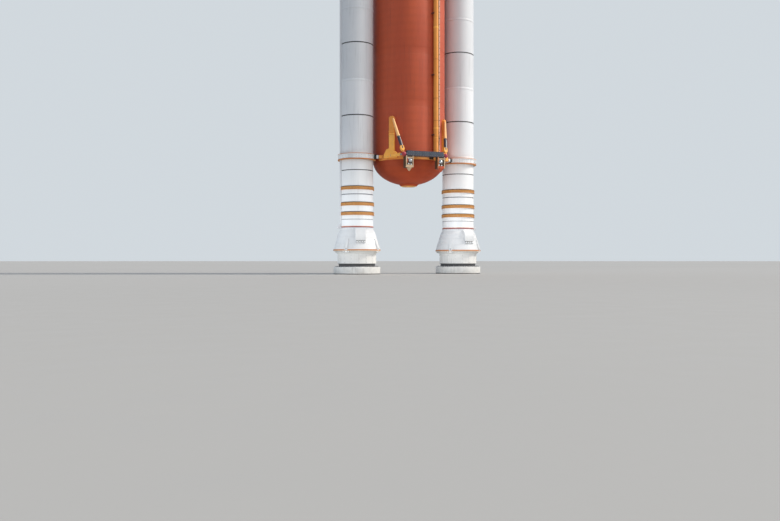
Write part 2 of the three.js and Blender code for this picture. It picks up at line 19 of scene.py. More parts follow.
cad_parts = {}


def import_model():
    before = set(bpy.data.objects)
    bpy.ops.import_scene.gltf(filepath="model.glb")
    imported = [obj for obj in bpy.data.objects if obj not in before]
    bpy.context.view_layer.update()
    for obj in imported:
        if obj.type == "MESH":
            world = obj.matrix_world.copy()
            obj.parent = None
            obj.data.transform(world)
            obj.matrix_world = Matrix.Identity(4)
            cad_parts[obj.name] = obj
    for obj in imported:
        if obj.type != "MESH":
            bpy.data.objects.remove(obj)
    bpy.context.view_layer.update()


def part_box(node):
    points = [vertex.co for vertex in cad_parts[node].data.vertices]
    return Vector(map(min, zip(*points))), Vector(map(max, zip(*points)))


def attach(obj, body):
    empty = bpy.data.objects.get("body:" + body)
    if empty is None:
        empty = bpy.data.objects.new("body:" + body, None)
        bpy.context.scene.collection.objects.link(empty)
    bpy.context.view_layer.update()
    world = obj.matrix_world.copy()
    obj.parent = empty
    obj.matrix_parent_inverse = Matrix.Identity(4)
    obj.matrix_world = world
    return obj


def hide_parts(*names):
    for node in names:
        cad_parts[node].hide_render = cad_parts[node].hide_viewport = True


LOG = logging.getLogger("rocket")

Point = Sequence[float]
Pair = tuple[float, float]
Loop = Sequence[Pair]
Colour = tuple[float, float, float]

# The photograph's camera, fitted in the real thing's metres and halved for the model.
PHOTO_WIDTH, FOCAL_PX, SENSOR_MM = 780, 775, 36.0
CAMERA_REAL, CAMERA_YAW, MODEL_SCALE = (-33.6, -84.35, 1.55), 20.34, 0.5

# The stack's line on Y, the boosters' distance on X, and the radii of the tank and the cases.
STACK_Y, BOOSTER_X = 0.277, 3.182
TANK_R, CASE_R = 2.1, 0.928


class Side(Enum):
    """The two boosters, with the side of the tank that each stands on."""

    LEFT = -1
    RIGHT = 1


class Graph:
    """A node tree being wired, with short calls for the nodes that the finishes use."""

    def __init__(self, tree: bpy.types.NodeTree) -> None:
        """Starts on a material's or group's tree, which is cleared."""
        self.tree = tree
        tree.nodes.clear()

    def node(self, kind: str, inputs: Optional[dict] = None, **settings: Any) -> bpy.types.Node:
        """Adds a node.

        Args:
            kind: the node's type name without the ShaderNode part.
            inputs: values or sockets for the node's inputs, by name or number.
            settings: the node's own properties.

        Returns:
            The new node.
        """
        node = self.tree.nodes.new(kind if kind.startswith("Node") else f"ShaderNode{kind}")
        for name, value in settings.items():
            setattr(node, name, value)
        for key, value in (inputs or {}).items():
            socket = node.inputs[key]
            if isinstance(value, bpy.types.NodeSocket):
                self.tree.links.new(value, socket)
            else:
                socket.default_value = (*value, 1.0) if socket.type == "RGBA" else value
        return node

    def math(self, operation: str, a: Any, b: Any = 0.5, clamp: bool = False) -> Any:
        """A maths node's output for two inputs."""
        return self.node("Math", {0: a, 1: b}, operation=operation, use_clamp=clamp).outputs[0]

    def times(self, a: Any, b: Any) -> Any:
        """The product of two values."""
        return self.math("MULTIPLY", a, b)

    def remap(self, value: Any, low: float, high: float, to_low: float = 0.0,
              to_high: float = 1.0) -> Any:
        """A clamped map range's output."""
        inputs = dict(enumerate((value, low, high, to_low, to_high)))
        return self.node("MapRange", inputs).outputs[0]

    def mix(self, share: Any, a: Any, b: Any) -> Any:
        """A colour between two, at a share of the way to the second."""
        return self.node("Mix", {0: share, 6: a, 7: b}, data_type="RGBA").outputs[2]

    def place(self) -> Any:
        """The point's place on the object."""
        return self.node("TexCoord").outputs["Object"]

    def noise(self, place: Any, scale: Any, detail: float, roughness: float = 0.5) -> Any:
        """Soft noise at a scale.

        Args:
            place: where it is looked up.
            scale: its scale.
            detail: its detail.
            roughness: how rough its finer detail is.

        Returns:
            The noise's output.
        """
        return self.node("TexNoise", {
            "Vector": place, "Scale": scale, "Detail": detail, "Roughness": roughness,
        }).outputs[0]

    def effect(self, kind: type["Effect"], **values: float) -> Any:
        """Places a shared effect with its own values, and gives its output."""
        return self.node("Group", values, node_tree=kind.group()).outputs[kind.output]


class Effect:
    """An effect that more than one finish uses: a shader node group that is built once."""

    name = ""
    inputs: dict[str, float] = {}
    output = "Mask"
    made: dict[str, bpy.types.NodeTree] = {}

    @classmethod
    def group(cls) -> bpy.types.NodeTree:
        """Builds the node group on first use.

        Returns:
            The group, with its named inputs and its one output.
        """
        if cls.name in cls.made:
            return cls.made[cls.name]
        tree = cls.made[cls.name] = bpy.data.node_groups.new(cls.name, "ShaderNodeTree")
        sockets = tree.interface
        for label, value in cls.inputs.items():
            socket = sockets.new_socket(label, in_out="INPUT", socket_type="NodeSocketFloat")
            socket.default_value = value
        sockets.new_socket(cls.output, in_out="OUTPUT", socket_type="NodeSocketFloat")
        graph = Graph(tree)
        given = graph.node("NodeGroupInput").outputs
        graph.node("NodeGroupOutput", {cls.output: cls.wire(graph, graph.place(), *given[:-1])})
        return tree

    @staticmethod
    def wire(graph: Graph, place: Any, *given: Any) -> Any:
        """Wires the effect from the point's place and the group's inputs."""
        raise NotImplementedError


class SurfaceGrain(Effect):
    """Fine even grain with soft pits, as a height."""

    name, inputs, output = "surface_grain", {"Scale": 60.0}, "Height"

    @staticmethod
    def wire(graph: Graph, place: Any, scale: Any) -> Any:
        """Adds the pits to the grain.

        Args:
            graph: the group's tree.
            place: the point's place.
            scale: the grain's scale.

        Returns:
            The height.
        """
        fine = graph.noise(place, scale, 6.0, 0.62)
        pits = graph.node("TexVoronoi", {"Vector": place, "Scale": scale}, feature="SMOOTH_F1")
        return graph.math("ADD", graph.times(fine, 0.7), graph.times(pits.outputs[0], 0.3))


class TonePatches(Effect):
    """Large soft patches of a second tone, stretched by an amount up the wall."""

    name, inputs = "tone_patches", {"Scale": 1.0, "Stretch": 1.0}

    @staticmethod
    def wire(graph: Graph, place: Any, scale: Any, stretch: Any) -> Any:
        """Stretches the noise and sharpens it a little.

        Args:
            graph: the group's tree.
            place: the point's place.
            scale: the patches' scale.
            stretch: the noise's scale up the wall.

        Returns:
            The effect's strength, 0 to 1.
        """
        by = graph.node("CombineXYZ", {0: 1.0, 1: 1.0, 2: stretch}).outputs[0]
        warped = graph.node("VectorMath", {0: place, 1: by}, operation="MULTIPLY").outputs[0]
        return graph.remap(graph.noise(warped, scale, 4.0), 0.36, 0.64)


class RainStreaks(Effect):
    """Thin runs that water leaves down a wall, gathered in places."""

    name, inputs = "rain_streaks", {"Scale": 9.0}

    @staticmethod
    def wire(graph: Graph, place: Any, scale: Any) -> Any:
        """Draws noise out down the wall and keeps it where broad noise is high.

        Args:
            graph: the group's tree.
            place: the point's place.
            scale: the runs' scale.

        Returns:
            The effect's strength, 0 to 1.
        """
        thin = graph.node("VectorMath", {0: place, 1: (1.0, 1.0, 0.05)}, operation="MULTIPLY")
        runs = graph.remap(graph.noise(thin.outputs[0], scale, 5.0, 0.6), 0.53, 0.7)
        return graph.times(runs, graph.remap(graph.noise(place, 0.55, 2.0), 0.4, 0.62, 0.1))


class FloorDust(Effect):
    """Dust that thins out upwards from the floor."""

    name, inputs = "floor_dust", {"Reach": 1.5}

    @staticmethod
    def wire(graph: Graph, place: Any, reach: Any) -> Any:
        """Fades the dust out with height and breaks it up.

        Args:
            graph: the group's tree.
            place: the point's place.
            reach: the height that the dust reaches.

        Returns:
            The effect's strength, 0 to 1.
        """
        height = graph.node("SeparateXYZ", {0: place}).outputs[2]
        share = graph.math("SUBTRACT", 1.0, graph.math("DIVIDE", height, reach), clamp=True)
        spots = graph.remap(graph.noise(place, 4.0, 6.0), 0.3, 0.7, 0.35)
        return graph.times(graph.math("POWER", share, 2.0), spots)


class EdgeWear(Effect):
    """Bare or dirty spots on the outward edges."""

    name, inputs = "edge_wear", {"Width": 0.06}

    @staticmethod
    def wire(graph: Graph, place: Any, width: Any) -> Any:
        """Finds the sharp edges and keeps them in spots.

        Args:
            graph: the group's tree.
            place: the point's place.
            width: how far past flat the pointiness of a fully worn edge is.

        Returns:
            The effect's strength, 0 to 1.
        """
        above = graph.math("SUBTRACT", graph.node("NewGeometry").outputs["Pointiness"], 0.5)
        edge = graph.math("DIVIDE", above, width, clamp=True)
        return graph.times(edge, graph.remap(graph.noise(place, 22.0, 5.0), 0.42, 0.6))


def srgb(screen: Colour) -> Colour:
    """Turns a screen colour, 0 to 255, into linear light."""
    shares = [value / 255 for value in screen]
    return tuple(s / 12.92 if s <= 0.04045 else ((s + 0.055) / 1.055) ** 2.4 for s in shares)


# The finishes' materials, by name, kept apart from those that come with the CAD nodes.
MADE: dict[str, bpy.types.Material] = {}


@dataclass(frozen=True)
class Finish:
    """A painted, bare or coated surface, with its grain, tone, dirt and wear.

    The patches of the tint and the grain are given by their scale, and patching is how far the
    tint shows. Spread is how far the roughness changes, and bare is the colour of worn edges.
    """

    name: str = "plain"
    base: Colour = (0.5, 0.5, 0.5)
    tint: Colour = (0.4, 0.4, 0.4)
    roughness: float = 0.55
    spread: float = 0.12
    metallic: float = 0.0
    patches: float = 0.8
    stretch: float = 0.35
    patching: float = 0.5
    grain: float = 60.0
    bump: float = 0.12
    bump_depth: float = 0.004
    streaks: float = 0.0
    dirt: Colour = (0.16, 0.14, 0.12)
    dust: float = 0.0
    wear: float = 0.0
    bare: Colour = (0.3, 0.29, 0.27)
    specular: float = 0.5
    sheen: float = 0.0

    def like(self, name: str, base: Colour, tint: Colour, roughness: Optional[float] = None,
             **looks: Any) -> "Finish":
        """Another finish that resembles this one.

        Args:
            name: its material's name.
            base: its colour on a screen, each channel 0 to 255.
            tint: the colour of its patches, given the same way.
            roughness: its roughness, where that differs.
            looks: the other fields that differ, with colours given the same way.

        Returns:
            The new finish.
        """
        given = {"base": base, "tint": tint, "roughness": roughness or self.roughness, **looks}
        return replace(self, name=name, **{
            key: srgb(value) if isinstance(value, tuple) else value
            for key, value in given.items()})

    def colour(self, graph: Graph) -> Any:
        """The surface's colour before dirt: the base with patches of the tint."""
        mask = graph.effect(TonePatches, Scale=self.patches, Stretch=self.stretch)
        return graph.mix(graph.times(mask, self.patching), self.base, self.tint)

    def relief(self, graph: Graph) -> Any:
        """The surface's height, 0 to 1."""
        return graph.effect(SurfaceGrain, Scale=self.grain)

    def material(self) -> bpy.types.Material:
        """Builds the material, once.

        Returns:
            The finished material.
        """
        if self.name in MADE:
            return MADE[self.name]
        material = MADE[self.name] = bpy.data.materials.new(self.name)
        material.use_nodes = True
        material.diffuse_color = (*self.base, 1.0)
        graph = Graph(material.node_tree)
        colour = self.colour(graph)
        for strength, over, kind, values in (
            (self.streaks, self.dirt, RainStreaks, {"Scale": 9.0}),
            (self.dust, self.dirt, FloorDust, {"Reach": 2.2}),
            (self.wear, self.bare, EdgeWear, {"Width": 0.06}),
        ):
            if strength:
                mask = graph.effect(kind, **values)
                colour = graph.mix(graph.times(mask, strength), colour, over)
        height = self.relief(graph)
        rough = graph.remap(height, 0.3, 0.7, self.roughness - self.spread,
                            self.roughness + self.spread)
        bump = graph.node("Bump", {
            "Strength": self.bump, "Distance": self.bump_depth, "Height": height})
        shader = graph.node("BsdfPrincipled", {
            "Base Color": colour, "Metallic": self.metallic, "Roughness": rough,
            "Specular IOR Level": self.specular, "Sheen Weight": self.sheen,
            "Sheen Roughness": 0.5, "Normal": bump.outputs[0]})
        graph.node("OutputMaterial", {"Surface": shader.outputs[0]})
        return material


@dataclass(frozen=True)
class FoamFinish(Finish):
    """Sprayed foam: fine orange-peel relief in level bands, with sun-darkened patches."""

    band_height: float = 0.42
    band_strength: float = 0.2
    band_shade: float = 0.72

    def colour(self, graph: Graph) -> Any:
        """Base and tint, with the soft level bands that the sprayer leaves.

        Args:
            graph: the material's graph.

        Returns:
            The colour's socket.
        """
        wave = graph.node("TexWave", {
            "Vector": graph.place(), "Scale": 0.05 / self.band_height * 2 * pi,
            "Distortion": 2.4, "Detail": 3.0, "Detail Scale": 0.35,
        }, bands_direction="Z").outputs["Fac"]
        share = graph.times(graph.remap(wave, 0.25, 0.95), self.band_strength)
        darker = tuple(self.band_shade * c for c in self.base)
        return graph.mix(share, super().colour(graph), darker)

    def relief(self, graph: Graph) -> Any:
        """Fine grain on top of slow lumps."""
        lumps = graph.noise(graph.place(), 5.0, 3.0)
        return graph.times(graph.math("ADD", super().relief(graph), lumps), 0.5)


# The finishes of this stack, with their colours as on a screen, each channel 0 to 255.
PLAIN, SPRAYED = Finish(), FoamFinish()
CASE = PLAIN.like("case_paint", (232, 233, 233), (219, 222, 223), 0.5, streaks=0.14,
                  dirt=(140, 136, 128), grain=45.0, bump=0.08)
# The upper and middle paints are greyer than the lowest: partly the real paint's change, partly
# painted shade for the dimmer light high on the booster.
UPPER = CASE.like("upper_case_paint", (216, 218, 220), (202, 205, 208), 0.52,
                  patches=0.5, stretch=0.6, streaks=0.2, dirt=(130, 130, 128))
MIDDLE = UPPER.like("middle_case_paint", (226, 228, 230), (214, 217, 220), streaks=0.18)
SKIRT = PLAIN.like("skirt_paint", (213, 214, 214), (200, 203, 204), 0.45,
                   streaks=0.14, dirt=(140, 134, 124), dust=0.15, wear=0.05, bump=0.08)
PLINTH = PLAIN.like("plinth_paint", (236, 236, 233), (220, 221, 218), 0.68, grain=26.0, bump=0.3,
                    streaks=0.25, dirt=(120, 112, 100), dust=0.35, wear=0.08, bare=(150, 146, 140))
# The plinth's recess and underside are painted dark grey as shade.
RECESS_SHADE = PLAIN.like("plinth_recess", (58, 60, 64), (74, 76, 80), 0.7,
                    grain=30.0, bump=0.25, dust=0.3, dirt=(120, 112, 100))
FOAM = SPRAYED.like("sprayed_foam", (193, 81, 39), (171, 65, 31), 0.6, spread=0.08, patches=1.1,
                    stretch=0.12, grain=38.0, patching=0.7, bump=0.45, bump_depth=0.005,
                    streaks=0.25, dirt=(120, 52, 34), sheen=0.1)
FOAM_DOME = FOAM.like("dome_foam", (166, 66, 30), (148, 52, 22), 0.64, patches=1.3, stretch=0.6,
                      band_height=0.3, streaks=0.0, specular=0.3, sheen=0.0)
FOAM_DARK = SPRAYED.like("foam_closeout", (176, 86, 56), (150, 66, 42), 0.7,
                         grain=30.0, bump=0.6, bump_depth=0.006, specular=0.2)
FOAM_RIB = FOAM_DARK.like("foam_ribs", (190, 96, 64), (168, 78, 50), 0.64, patches=1.4, stretch=0.2,
                          grain=40.0, bump=0.45, bump_depth=0.005, band_height=1.2)
YELLOW = SPRAYED.like("golden_coat", (236, 156, 66), (216, 132, 46), 0.6,
                      patches=2.2, grain=55.0, bump=0.35, bump_depth=0.006,
                      streaks=0.3, dirt=(140, 84, 34), band_strength=0.12, sheen=0.1)
GOLD = YELLOW.like("pale_golden_coat", (252, 184, 84), (240, 164, 58),
                   dirt=(160, 100, 46), sheen=0.0)
PEACH = PLAIN.like("strut_peach", (244, 190, 126), (228, 166, 94), 0.5,
                   bump=0.15, streaks=0.15, dirt=(160, 110, 60))
TAN = PLAIN.like("ring_tan", (190, 132, 66), (172, 112, 52), 0.6, patches=3.0, grain=70.0,
                 bump=0.25, streaks=0.3, dirt=(110, 84, 56))
SEAM = PLAIN.like("joint_seam", (26, 28, 30), (42, 44, 48), 0.6, grain=80.0)
DIM = SEAM.like("case_line", (98, 102, 108), (84, 88, 94))
SHADE = PLAIN.like("ring_shadow", (88, 74, 58), (108, 92, 72), 0.7)
MAROON = PLAIN.like("ball_maroon", (172, 44, 62), (146, 34, 50), 0.45, grain=70.0, wear=0.3)
RED = PLAIN.like("skirt_line", (128, 50, 68), (112, 42, 60), 0.6)
RIM = RED.like("rim_line", (200, 128, 72), (176, 104, 56), streaks=0.3, dirt=(110, 84, 60))
SLATE = PLAIN.like("slate_paint", (58, 66, 80), (48, 54, 66), 0.62,
                   patches=2.6, wear=0.35, bare=(110, 116, 124), streaks=0.2)
BLACK = PLAIN.like("boot_black", (30, 31, 33), (46, 47, 50), 0.62, grain=90.0, bump=0.3)
NAVY = PLAIN.like("strut_dark", (50, 48, 60), (64, 60, 72), 0.6, wear=0.3)
WHITE = PLAIN.like("strut_paint", (226, 222, 218), (206, 202, 198), 0.5, streaks=0.2, wear=0.1)
CREAM = PLAIN.like("plate_cream", (214, 184, 146), (196, 154, 110), 0.5,
                   patches=5.0, streaks=0.35, dirt=(140, 92, 54), wear=0.5)
# Dark brown painted shade: the umbilical boxes' shaded sides and bay, the gaps between the tray's
# lengths, and a shadow on the ring frame.
PAINTED_SHADE = PLAIN.like("plate_side", (66, 54, 34), (90, 62, 34), 0.65, patches=4.0)
SILVER = PLAIN.like("coupling_silver", (208, 214, 216), (186, 194, 198), 0.24,
                    spread=0.08, metallic=0.9, grain=120.0, bump=0.05)
STEEL = PLAIN.like("fastener_steel", (150, 152, 154), (118, 120, 122), 0.45,
                   metallic=0.6, grain=150.0, bump=0.1, wear=0.2)
CHAR = PLAIN.like("nozzle_char", (56, 54, 53), (78, 74, 70), 0.74, patches=3.0, stretch=0.5,
                  grain=50.0, bump=0.4, streaks=0.3, dirt=(120, 112, 104))
# The tray's dark length is painted shade on its side, and its pale cover is painted sunlight.
TRAY_SHADED = PLAIN.like("tray_paint", (74, 66, 64), (58, 52, 50), streaks=0.25, wear=0.4)
TRAY_SUNLIT_COVER = TRAY_SHADED.like("tray_cover", (212, 160, 138), (196, 142, 120), wear=0.3)
BROWN = PLAIN.like("bracket_brown", (92, 46, 30), (112, 58, 38), 0.7, grain=50.0, bump=0.3)
FLOOR = PLAIN.like("studio_floor", (170, 168, 164), (164, 162, 158), 0.9,
                   patches=0.02, stretch=1.0, grain=2.0, bump=0.05)


def move(x: float, y: float, z: float) -> Matrix:
    """A place with no turn."""
    return Matrix.Translation((x, y, z))


def turned(angle: float, axis: str = "Z") -> Matrix:
    """A turn in degrees about one of the axes."""
    return Matrix.Rotation(radians(angle), 4, axis)


def lying(x: float, y: float, z: float) -> Matrix:
    """A place whose Z points along +X."""
    return move(x, y, z) @ turned(90, "Y")


def every(count: int, start: float = 0.0) -> list[Matrix]:
    """Even turns about the upright axis."""
    return [turned(start + 360 * i / count) for i in range(count)]


def aimed(start: Point, end: Point) -> Matrix:
    """A place whose Z runs from one point towards another."""
    a, b = Vector(start), Vector(end)
    return Matrix.Translation(a) @ (b - a).to_track_quat("Z", "Y").to_matrix().to_4x4()


def circle(sides: int, radius: float = 1.0) -> list[Pair]:
    """Points round a circle, from +X on."""
    turns = [2 * pi * i / sides for i in range(sides)]
    return [(radius * cos(a), radius * sin(a)) for a in turns]


def arc(centre: Pair, radius: float, start: float, end: float, steps: int) -> list[Pair]:
    """Points along an arc, its angles in degrees."""
    turns = [radians(start + (end - start) * i / steps) for i in range(steps + 1)]
    return [(centre[0] + radius * cos(a), centre[1] + radius * sin(a)) for a in turns]


def rounded(width: float, tall: float, corner: float, steps: int = 5) -> list[Pair]:
    """A rectangle's outline with round corners, about its own middle.

    Args:
        width: its width.
        tall: its height.
        corner: its corners' radius.
        steps: how many steps each corner has.

    Returns:
        The outline's points.
    """
    return [spot for sx, sy, start in ((1, 1, 0), (-1, 1, 90), (-1, -1, 180), (1, -1, 270))
            for spot in arc((sx * (width / 2 - corner), sy * (tall / 2 - corner)), corner,
                            start, start + 90, steps)]


def shrink(loop: Loop, by: float) -> list[Pair]:
    """Moves each corner of an outline inwards from both its sides.

    Args:
        loop: the outline, anticlockwise.
        by: how far each side moves.

    Returns:
        The smaller outline, corner for corner.
    """
    out = []
    for i, corner in enumerate(loop):
        here = Vector(corner)
        to = (here - Vector(loop[i - 1])).normalized()
        away = (Vector(loop[(i + 1) % len(loop)]) - here).normalized()
        left = Vector((-to.y, to.x))
        inward = Vector((-to.y - away.y, to.x + away.x))
        if inward.length < 1e-6:
            inward = left.copy()
        inward.normalize()
        out.append(tuple(here + inward * (by / max(inward.dot(left), 0.35))))
    return out


# The shape of a plain round bar.
EVEN = ((0, 1), (1, 1))
# The turn of a part that is set once, where it was drawn.
ONCE = (Matrix.Identity(4),)
# A bolt's washer and hexagon: share of the radius, lowest and highest share of its height, sides.
BOLT = ((1.45, 0.0, 0.3, 16), (1.0, 0.3, 1.3, 6))


class Form:
    """A mesh under construction. Parts are added to it, and then it becomes one named piece."""

    def __init__(self, at: Matrix = ONCE[0]) -> None:
        """Starts empty, in axes that stand at a place in the frame."""
        self.at = at
        self.clear()

    def clear(self) -> None:
        """Takes away all that was drawn."""
        self.points: list[Vector] = []
        self.faces: list[list[int]] = []
        self.coats: list[Finish] = []

    def put(self, points: Iterable[Point], faces: Iterable[Sequence[int]],
            coats: Sequence[Finish], turn: Matrix = ONCE[0]) -> None:
        """Adds points and faces.

        Args:
            points: the part's points.
            faces: each face's points, counted from the part's first.
            coats: a finish for each face.
            turn: a placing matrix for the points.
        """
        start = len(self.points)
        self.points += [turn @ Vector(p) for p in points]
        self.faces += [[start + i for i in face] for face in faces]
        self.coats += coats

    def copies(self, part: "Form", turns: Iterable[Matrix] = ONCE) -> None:
        """Adds another form once for each placing matrix."""
        for turn in turns:
            self.put(part.points, part.faces, part.coats, turn)

    def rings(self, rows: Sequence[Sequence[Point]], finish: Finish | Sequence[Finish],
              wrap: bool = False, turn: Matrix = ONCE[0]) -> None:
        """Joins closed rows of points, all of one count, into a skin with its ends closed.

        Args:
            rows: the closed rows, in order.
            finish: one finish, or one for each strip between rows.
            wrap: join the last row to the first instead.
            turn: a placing matrix.
        """
        count, strips = len(rows[0]), len(rows) - (not wrap)
        coats = [finish] * strips if isinstance(finish, Finish) else list(finish)
        faces, dressed = [], []
        for s in range(strips):
            low, high = s * count, (s + 1) % len(rows) * count
            for i in range(count):
                j = (i + 1) % count
                faces.append([low + i, low + j, high + j, high + i])
                dressed.append(coats[s])
        if not wrap:
            last = strips * count
            faces += [list(range(count))[::-1], list(range(last, last + count))]
            dressed += [coats[0], coats[-1]]
        self.put([p for row in rows for p in row], faces, dressed, turn)

    def lathe(self, profile: Loop, finish: Finish | Sequence[Finish],
              centre: Point = (0, 0, 0), sides: int = 96, wrap: bool = False) -> None:
        """Turns (radius, height) points, up the outside first, about an upright axis.

        Args:
            profile: the points.
            finish: one finish, or one for each stretch.
            centre: the place that the points count from.
            sides: how many flats go round.
            wrap: join the last point to the first.
        """
        cx, cy, cz = centre
        self.rings([[(cx + r * c, cy + r * s, cz + z) for c, s in circle(sides)]
                    for r, z in profile], finish, wrap)

    def block(self, size: Point, turn: Matrix, finish: Finish, bevel: float = 0.004) -> None:
        """A block with its edges taken off, centred on the placing matrix.

        Args:
            size: its three lengths.
            turn: the placing matrix.
            finish: its finish.
            bevel: how much its edges lose, at most 0.45 of the way to the middle.
        """
        half = [s / 2 for s in size]
        cut = min(bevel, *(h * 0.45 for h in half))
        points, index = [], {}
        for signs in product((-1, 1), repeat=3):
            for axis in range(3):
                index[(*signs, axis)] = len(points)
                points.append([signs[k] * (half[k] - (0 if k == axis else cut)) for k in range(3)])

        def corner(signs: dict[int, int], face: int) -> int:
            """The number of the point at a corner that lies in an axis' face."""
            return index[(signs[0], signs[1], signs[2], face)]

        faces = []
        for axis in range(3):
            u, v = [k for k in range(3) if k != axis]
            faces += [[corner({axis: sign, u: su, v: sv}, axis)
                       for su, sv in ((-1, -1), (1, -1), (1, 1), (-1, 1))] for sign in (-1, 1)]
            for su, sv in product((-1, 1), repeat=2):
                low, high = ([corner({axis: end, u: su, v: sv}, k) for k in (u, v)]
                             for end in (-1, 1))
                faces.append([*low[:1], *high, *low[1:]])
        faces += [[index[(*signs, k)] for k in range(3)] for signs in product((-1, 1), repeat=3)]
        self.put(points, faces, [finish] * len(faces), turn)

    def prism(self, outline: Loop, depth: float, turn: Matrix, finish: Finish,
              bevel: float = 0.004) -> None:
        """A plate with a drawn outline, centred on the placing matrix's XY plane.

        Args:
            outline: the plate's corners in order.
            depth: its thickness along the matrix's Z.
            turn: the placing matrix.
            finish: its finish.
            bevel: how much its two faces' edges are taken off.
        """
        area = sum(a[0] * b[1] - b[0] * a[1] for a, b in zip(outline, [*outline[1:], outline[0]]))
        loop = list(outline) if area > 0 else list(outline)[::-1]
        inner = shrink(loop, bevel)
        rows = ((inner, -depth / 2), (loop, bevel - depth / 2), (loop, depth / 2 - bevel),
                (inner, depth / 2))
        self.rings([[(x, y, z) for x, y in row] for row, z in rows], finish, turn=turn)

    def bar(self, start: Point, end: Point, radius: float, finish: Finish | Sequence[Finish],
            shape: Loop = EVEN, sides: int = 32) -> None:
        """A round bar, shaped by its (share along, share of the radius) pairs.

        Args:
            start: the middle of its first end.
            end: the middle of its last end.
            radius: its radius.
            finish: one finish, or one for each stretch.
            shape: the pairs.
            sides: how many flats go round.
        """
        length = (Vector(end) - Vector(start)).length
        self.rings([[(x, y, along * length) for x, y in circle(sides, radius * share)]
                    for along, share in shape], finish, turn=aimed(start, end))

    def tube(self, path: Sequence[Vector], radius: float, finish: Finish, sides: int = 36) -> None:
        """A round tube along a smooth row of points.

        Args:
            path: the points.
            radius: its radius.
            finish: its finish.
            sides: how many flats go round.
        """
        rows, across = [], None
        for i, spot in enumerate(path):
            ahead = path[min(i + 1, len(path) - 1)] - path[max(i - 1, 0)]
            ahead.normalize()
            if across is None:
                helper = Vector((0, 0, 1)) if abs(ahead.z) < 0.9 else Vector((1, 0, 0))
                across = ahead.cross(helper).normalized()
            across = (across - ahead * across.dot(ahead)).normalized()
            other = ahead.cross(across)
            rows.append([spot + radius * (c * across + s * other) for c, s in circle(sides)])
        self.rings(rows, finish)

    def ball(self, centre: Point, radius: float, finish: Finish, sides: int) -> None:
        """A ball.

        Args:
            centre: its middle.
            radius: its radius.
            finish: its finish.
            sides: how many flats go round.
        """
        steps = sides // 2
        turns = [pi * i / steps - pi / 2 for i in range(steps + 1)]
        profile = [(radius * max(cos(a), 1e-3), radius * sin(a)) for a in turns]
        self.lathe(profile, finish, centre, sides)

    def bolts(self, radius: float, height: float, place: Matrix,
              turns: Iterable[Matrix] = ONCE) -> None:
        """Sets steel hexagon heads on washers.

        Args:
            radius: a head's radius, which its washer passes.
            height: how far it stands out.
            place: where the first stands, its Z pointing out.
            turns: a further matrix for each head, if there are several.
        """
        head = Form()
        for share, low, high, sides in BOLT:
            rows = [[(x, y, z * height) for x, y in circle(sides, radius * share * narrow)]
                    for narrow, z in ((1.0, low), (1.0, high - 0.12), (0.86, high))]
            head.rings(rows, STEEL, turn=place)
        self.copies(head, turns)

    def emit(self, name: str, body: str, slot: str, node: str) -> None:
        """Makes the piece.

        Args:
            name: the piece's name.
            body: the CAD body that it rides on.
            slot: the record's material slot of its main finish; not used.
            node: the CAD node that it stands for.
        """
        mesh = bpy.data.meshes.new(name)
        mesh.from_pydata([tuple(self.at @ p) for p in self.points], [], self.faces)
        palette = {finish: number for number, finish in enumerate(dict.fromkeys(self.coats))}
        for finish in palette:
            mesh.materials.append(finish.material())
        mesh.polygons.foreach_set("material_index", [palette[finish] for finish in self.coats])
        mesh.polygons.foreach_set("use_smooth", [True] * len(mesh.polygons))
        mesh.set_sharp_from_angle(angle=radians(34))
        mesh.update()
        piece = bpy.data.objects.new(name, mesh)
        bpy.context.scene.collection.objects.link(piece)
        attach(piece, body)
        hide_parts(node)
        LOG.info("%s: %d faces on %s", name, len(self.faces), body)


class Outline:
    """A lathe outline drawn stretch by stretch, each stretch with its own finish."""

    def __init__(self, *rows: tuple) -> None:
        """Starts at the first row and draws on through the others.

        Args:
            rows: the rows, as draw takes them.
        """
        self.points: list[Pair] = []
        self.coats: list[Finish] = []
        self.draw(*rows)

    def draw(self, *rows: tuple, coat: Optional[Finish] = None) -> "Outline":
        """Draws on through points.

        Args:
            rows: (radius, height) or (radius, height, finish). A row without a finish keeps
                the one before it.
            coat: the finish of the rows without one, if it isn't that.

        Returns:
            The outline itself.
        """
        for r, z, *own in rows:
            if self.points:
                self.coats.append(own[0] if own else coat or self.coats[-1])
            self.points.append((r, z))
        return self

    def step(self, low: float, high: float, out: float, wall: Finish, face: Finish) -> "Outline":
        """Draws up the wall to a band or, where it goes in, a groove, and over it."""
        r = self.points[-1][0]
        return self.draw((r, low, wall), (r + out, low, face), (r + out, high), (r, high))

    def turn(self, form: Form, sides: int = 128, soften: float = 0.003, wrap: bool = True,
             flat_x: float = 1e9) -> None:
        """Turns the outline into a form, with its corners taken off.

        Args:
            form: the form that it goes into.
            sides: how many flats go round.
            soften: how much each corner loses.
            wrap: join the last point to the first, round a hole.
            flat_x: cut the turned body flat at this distance on +X.
        """
        points, coats = self.cornered(soften, wrap)
        rows = []
        for r, z in points:
            spots = [(r if c * r <= flat_x else flat_x / c, c, s) for c, s in circle(sides)]
            rows.append([(reach * c, reach * s, z) for reach, c, s in spots])
        form.rings(rows, coats, wrap)

    def cornered(self, by: float, wrap: bool) -> tuple[list[Pair], list[Finish]]:
        """Cuts the corners.

        Args:
            by: how much each loses.
            wrap: the last point joins the first.

        Returns:
            The outline's points then, and a finish for each stretch.
        """
        count = len(self.points)
        coats = self.coats + self.coats[-1:] * wrap
        points_out, coats_out = [], []
        for i, here in enumerate(self.points):
            c = Vector(here)
            back = Vector(self.points[i - 1]) - c
            on = Vector(self.points[(i + 1) % count]) - c
            if (not wrap and i in (0, count - 1)) or back.length < 1e-6 or on.length < 1e-6 or (
                    back.angle(on) > radians(168)):
                points_out.append(here)
            else:
                reach = min(by, back.length * 0.4, on.length * 0.4)
                points_out += [tuple(c + side.normalized() * reach) for side in (back, on)]
                coats_out.append(coats[i - 1])
            if wrap or i < count - 1:
                coats_out.append(coats[i])
        return points_out, coats_out


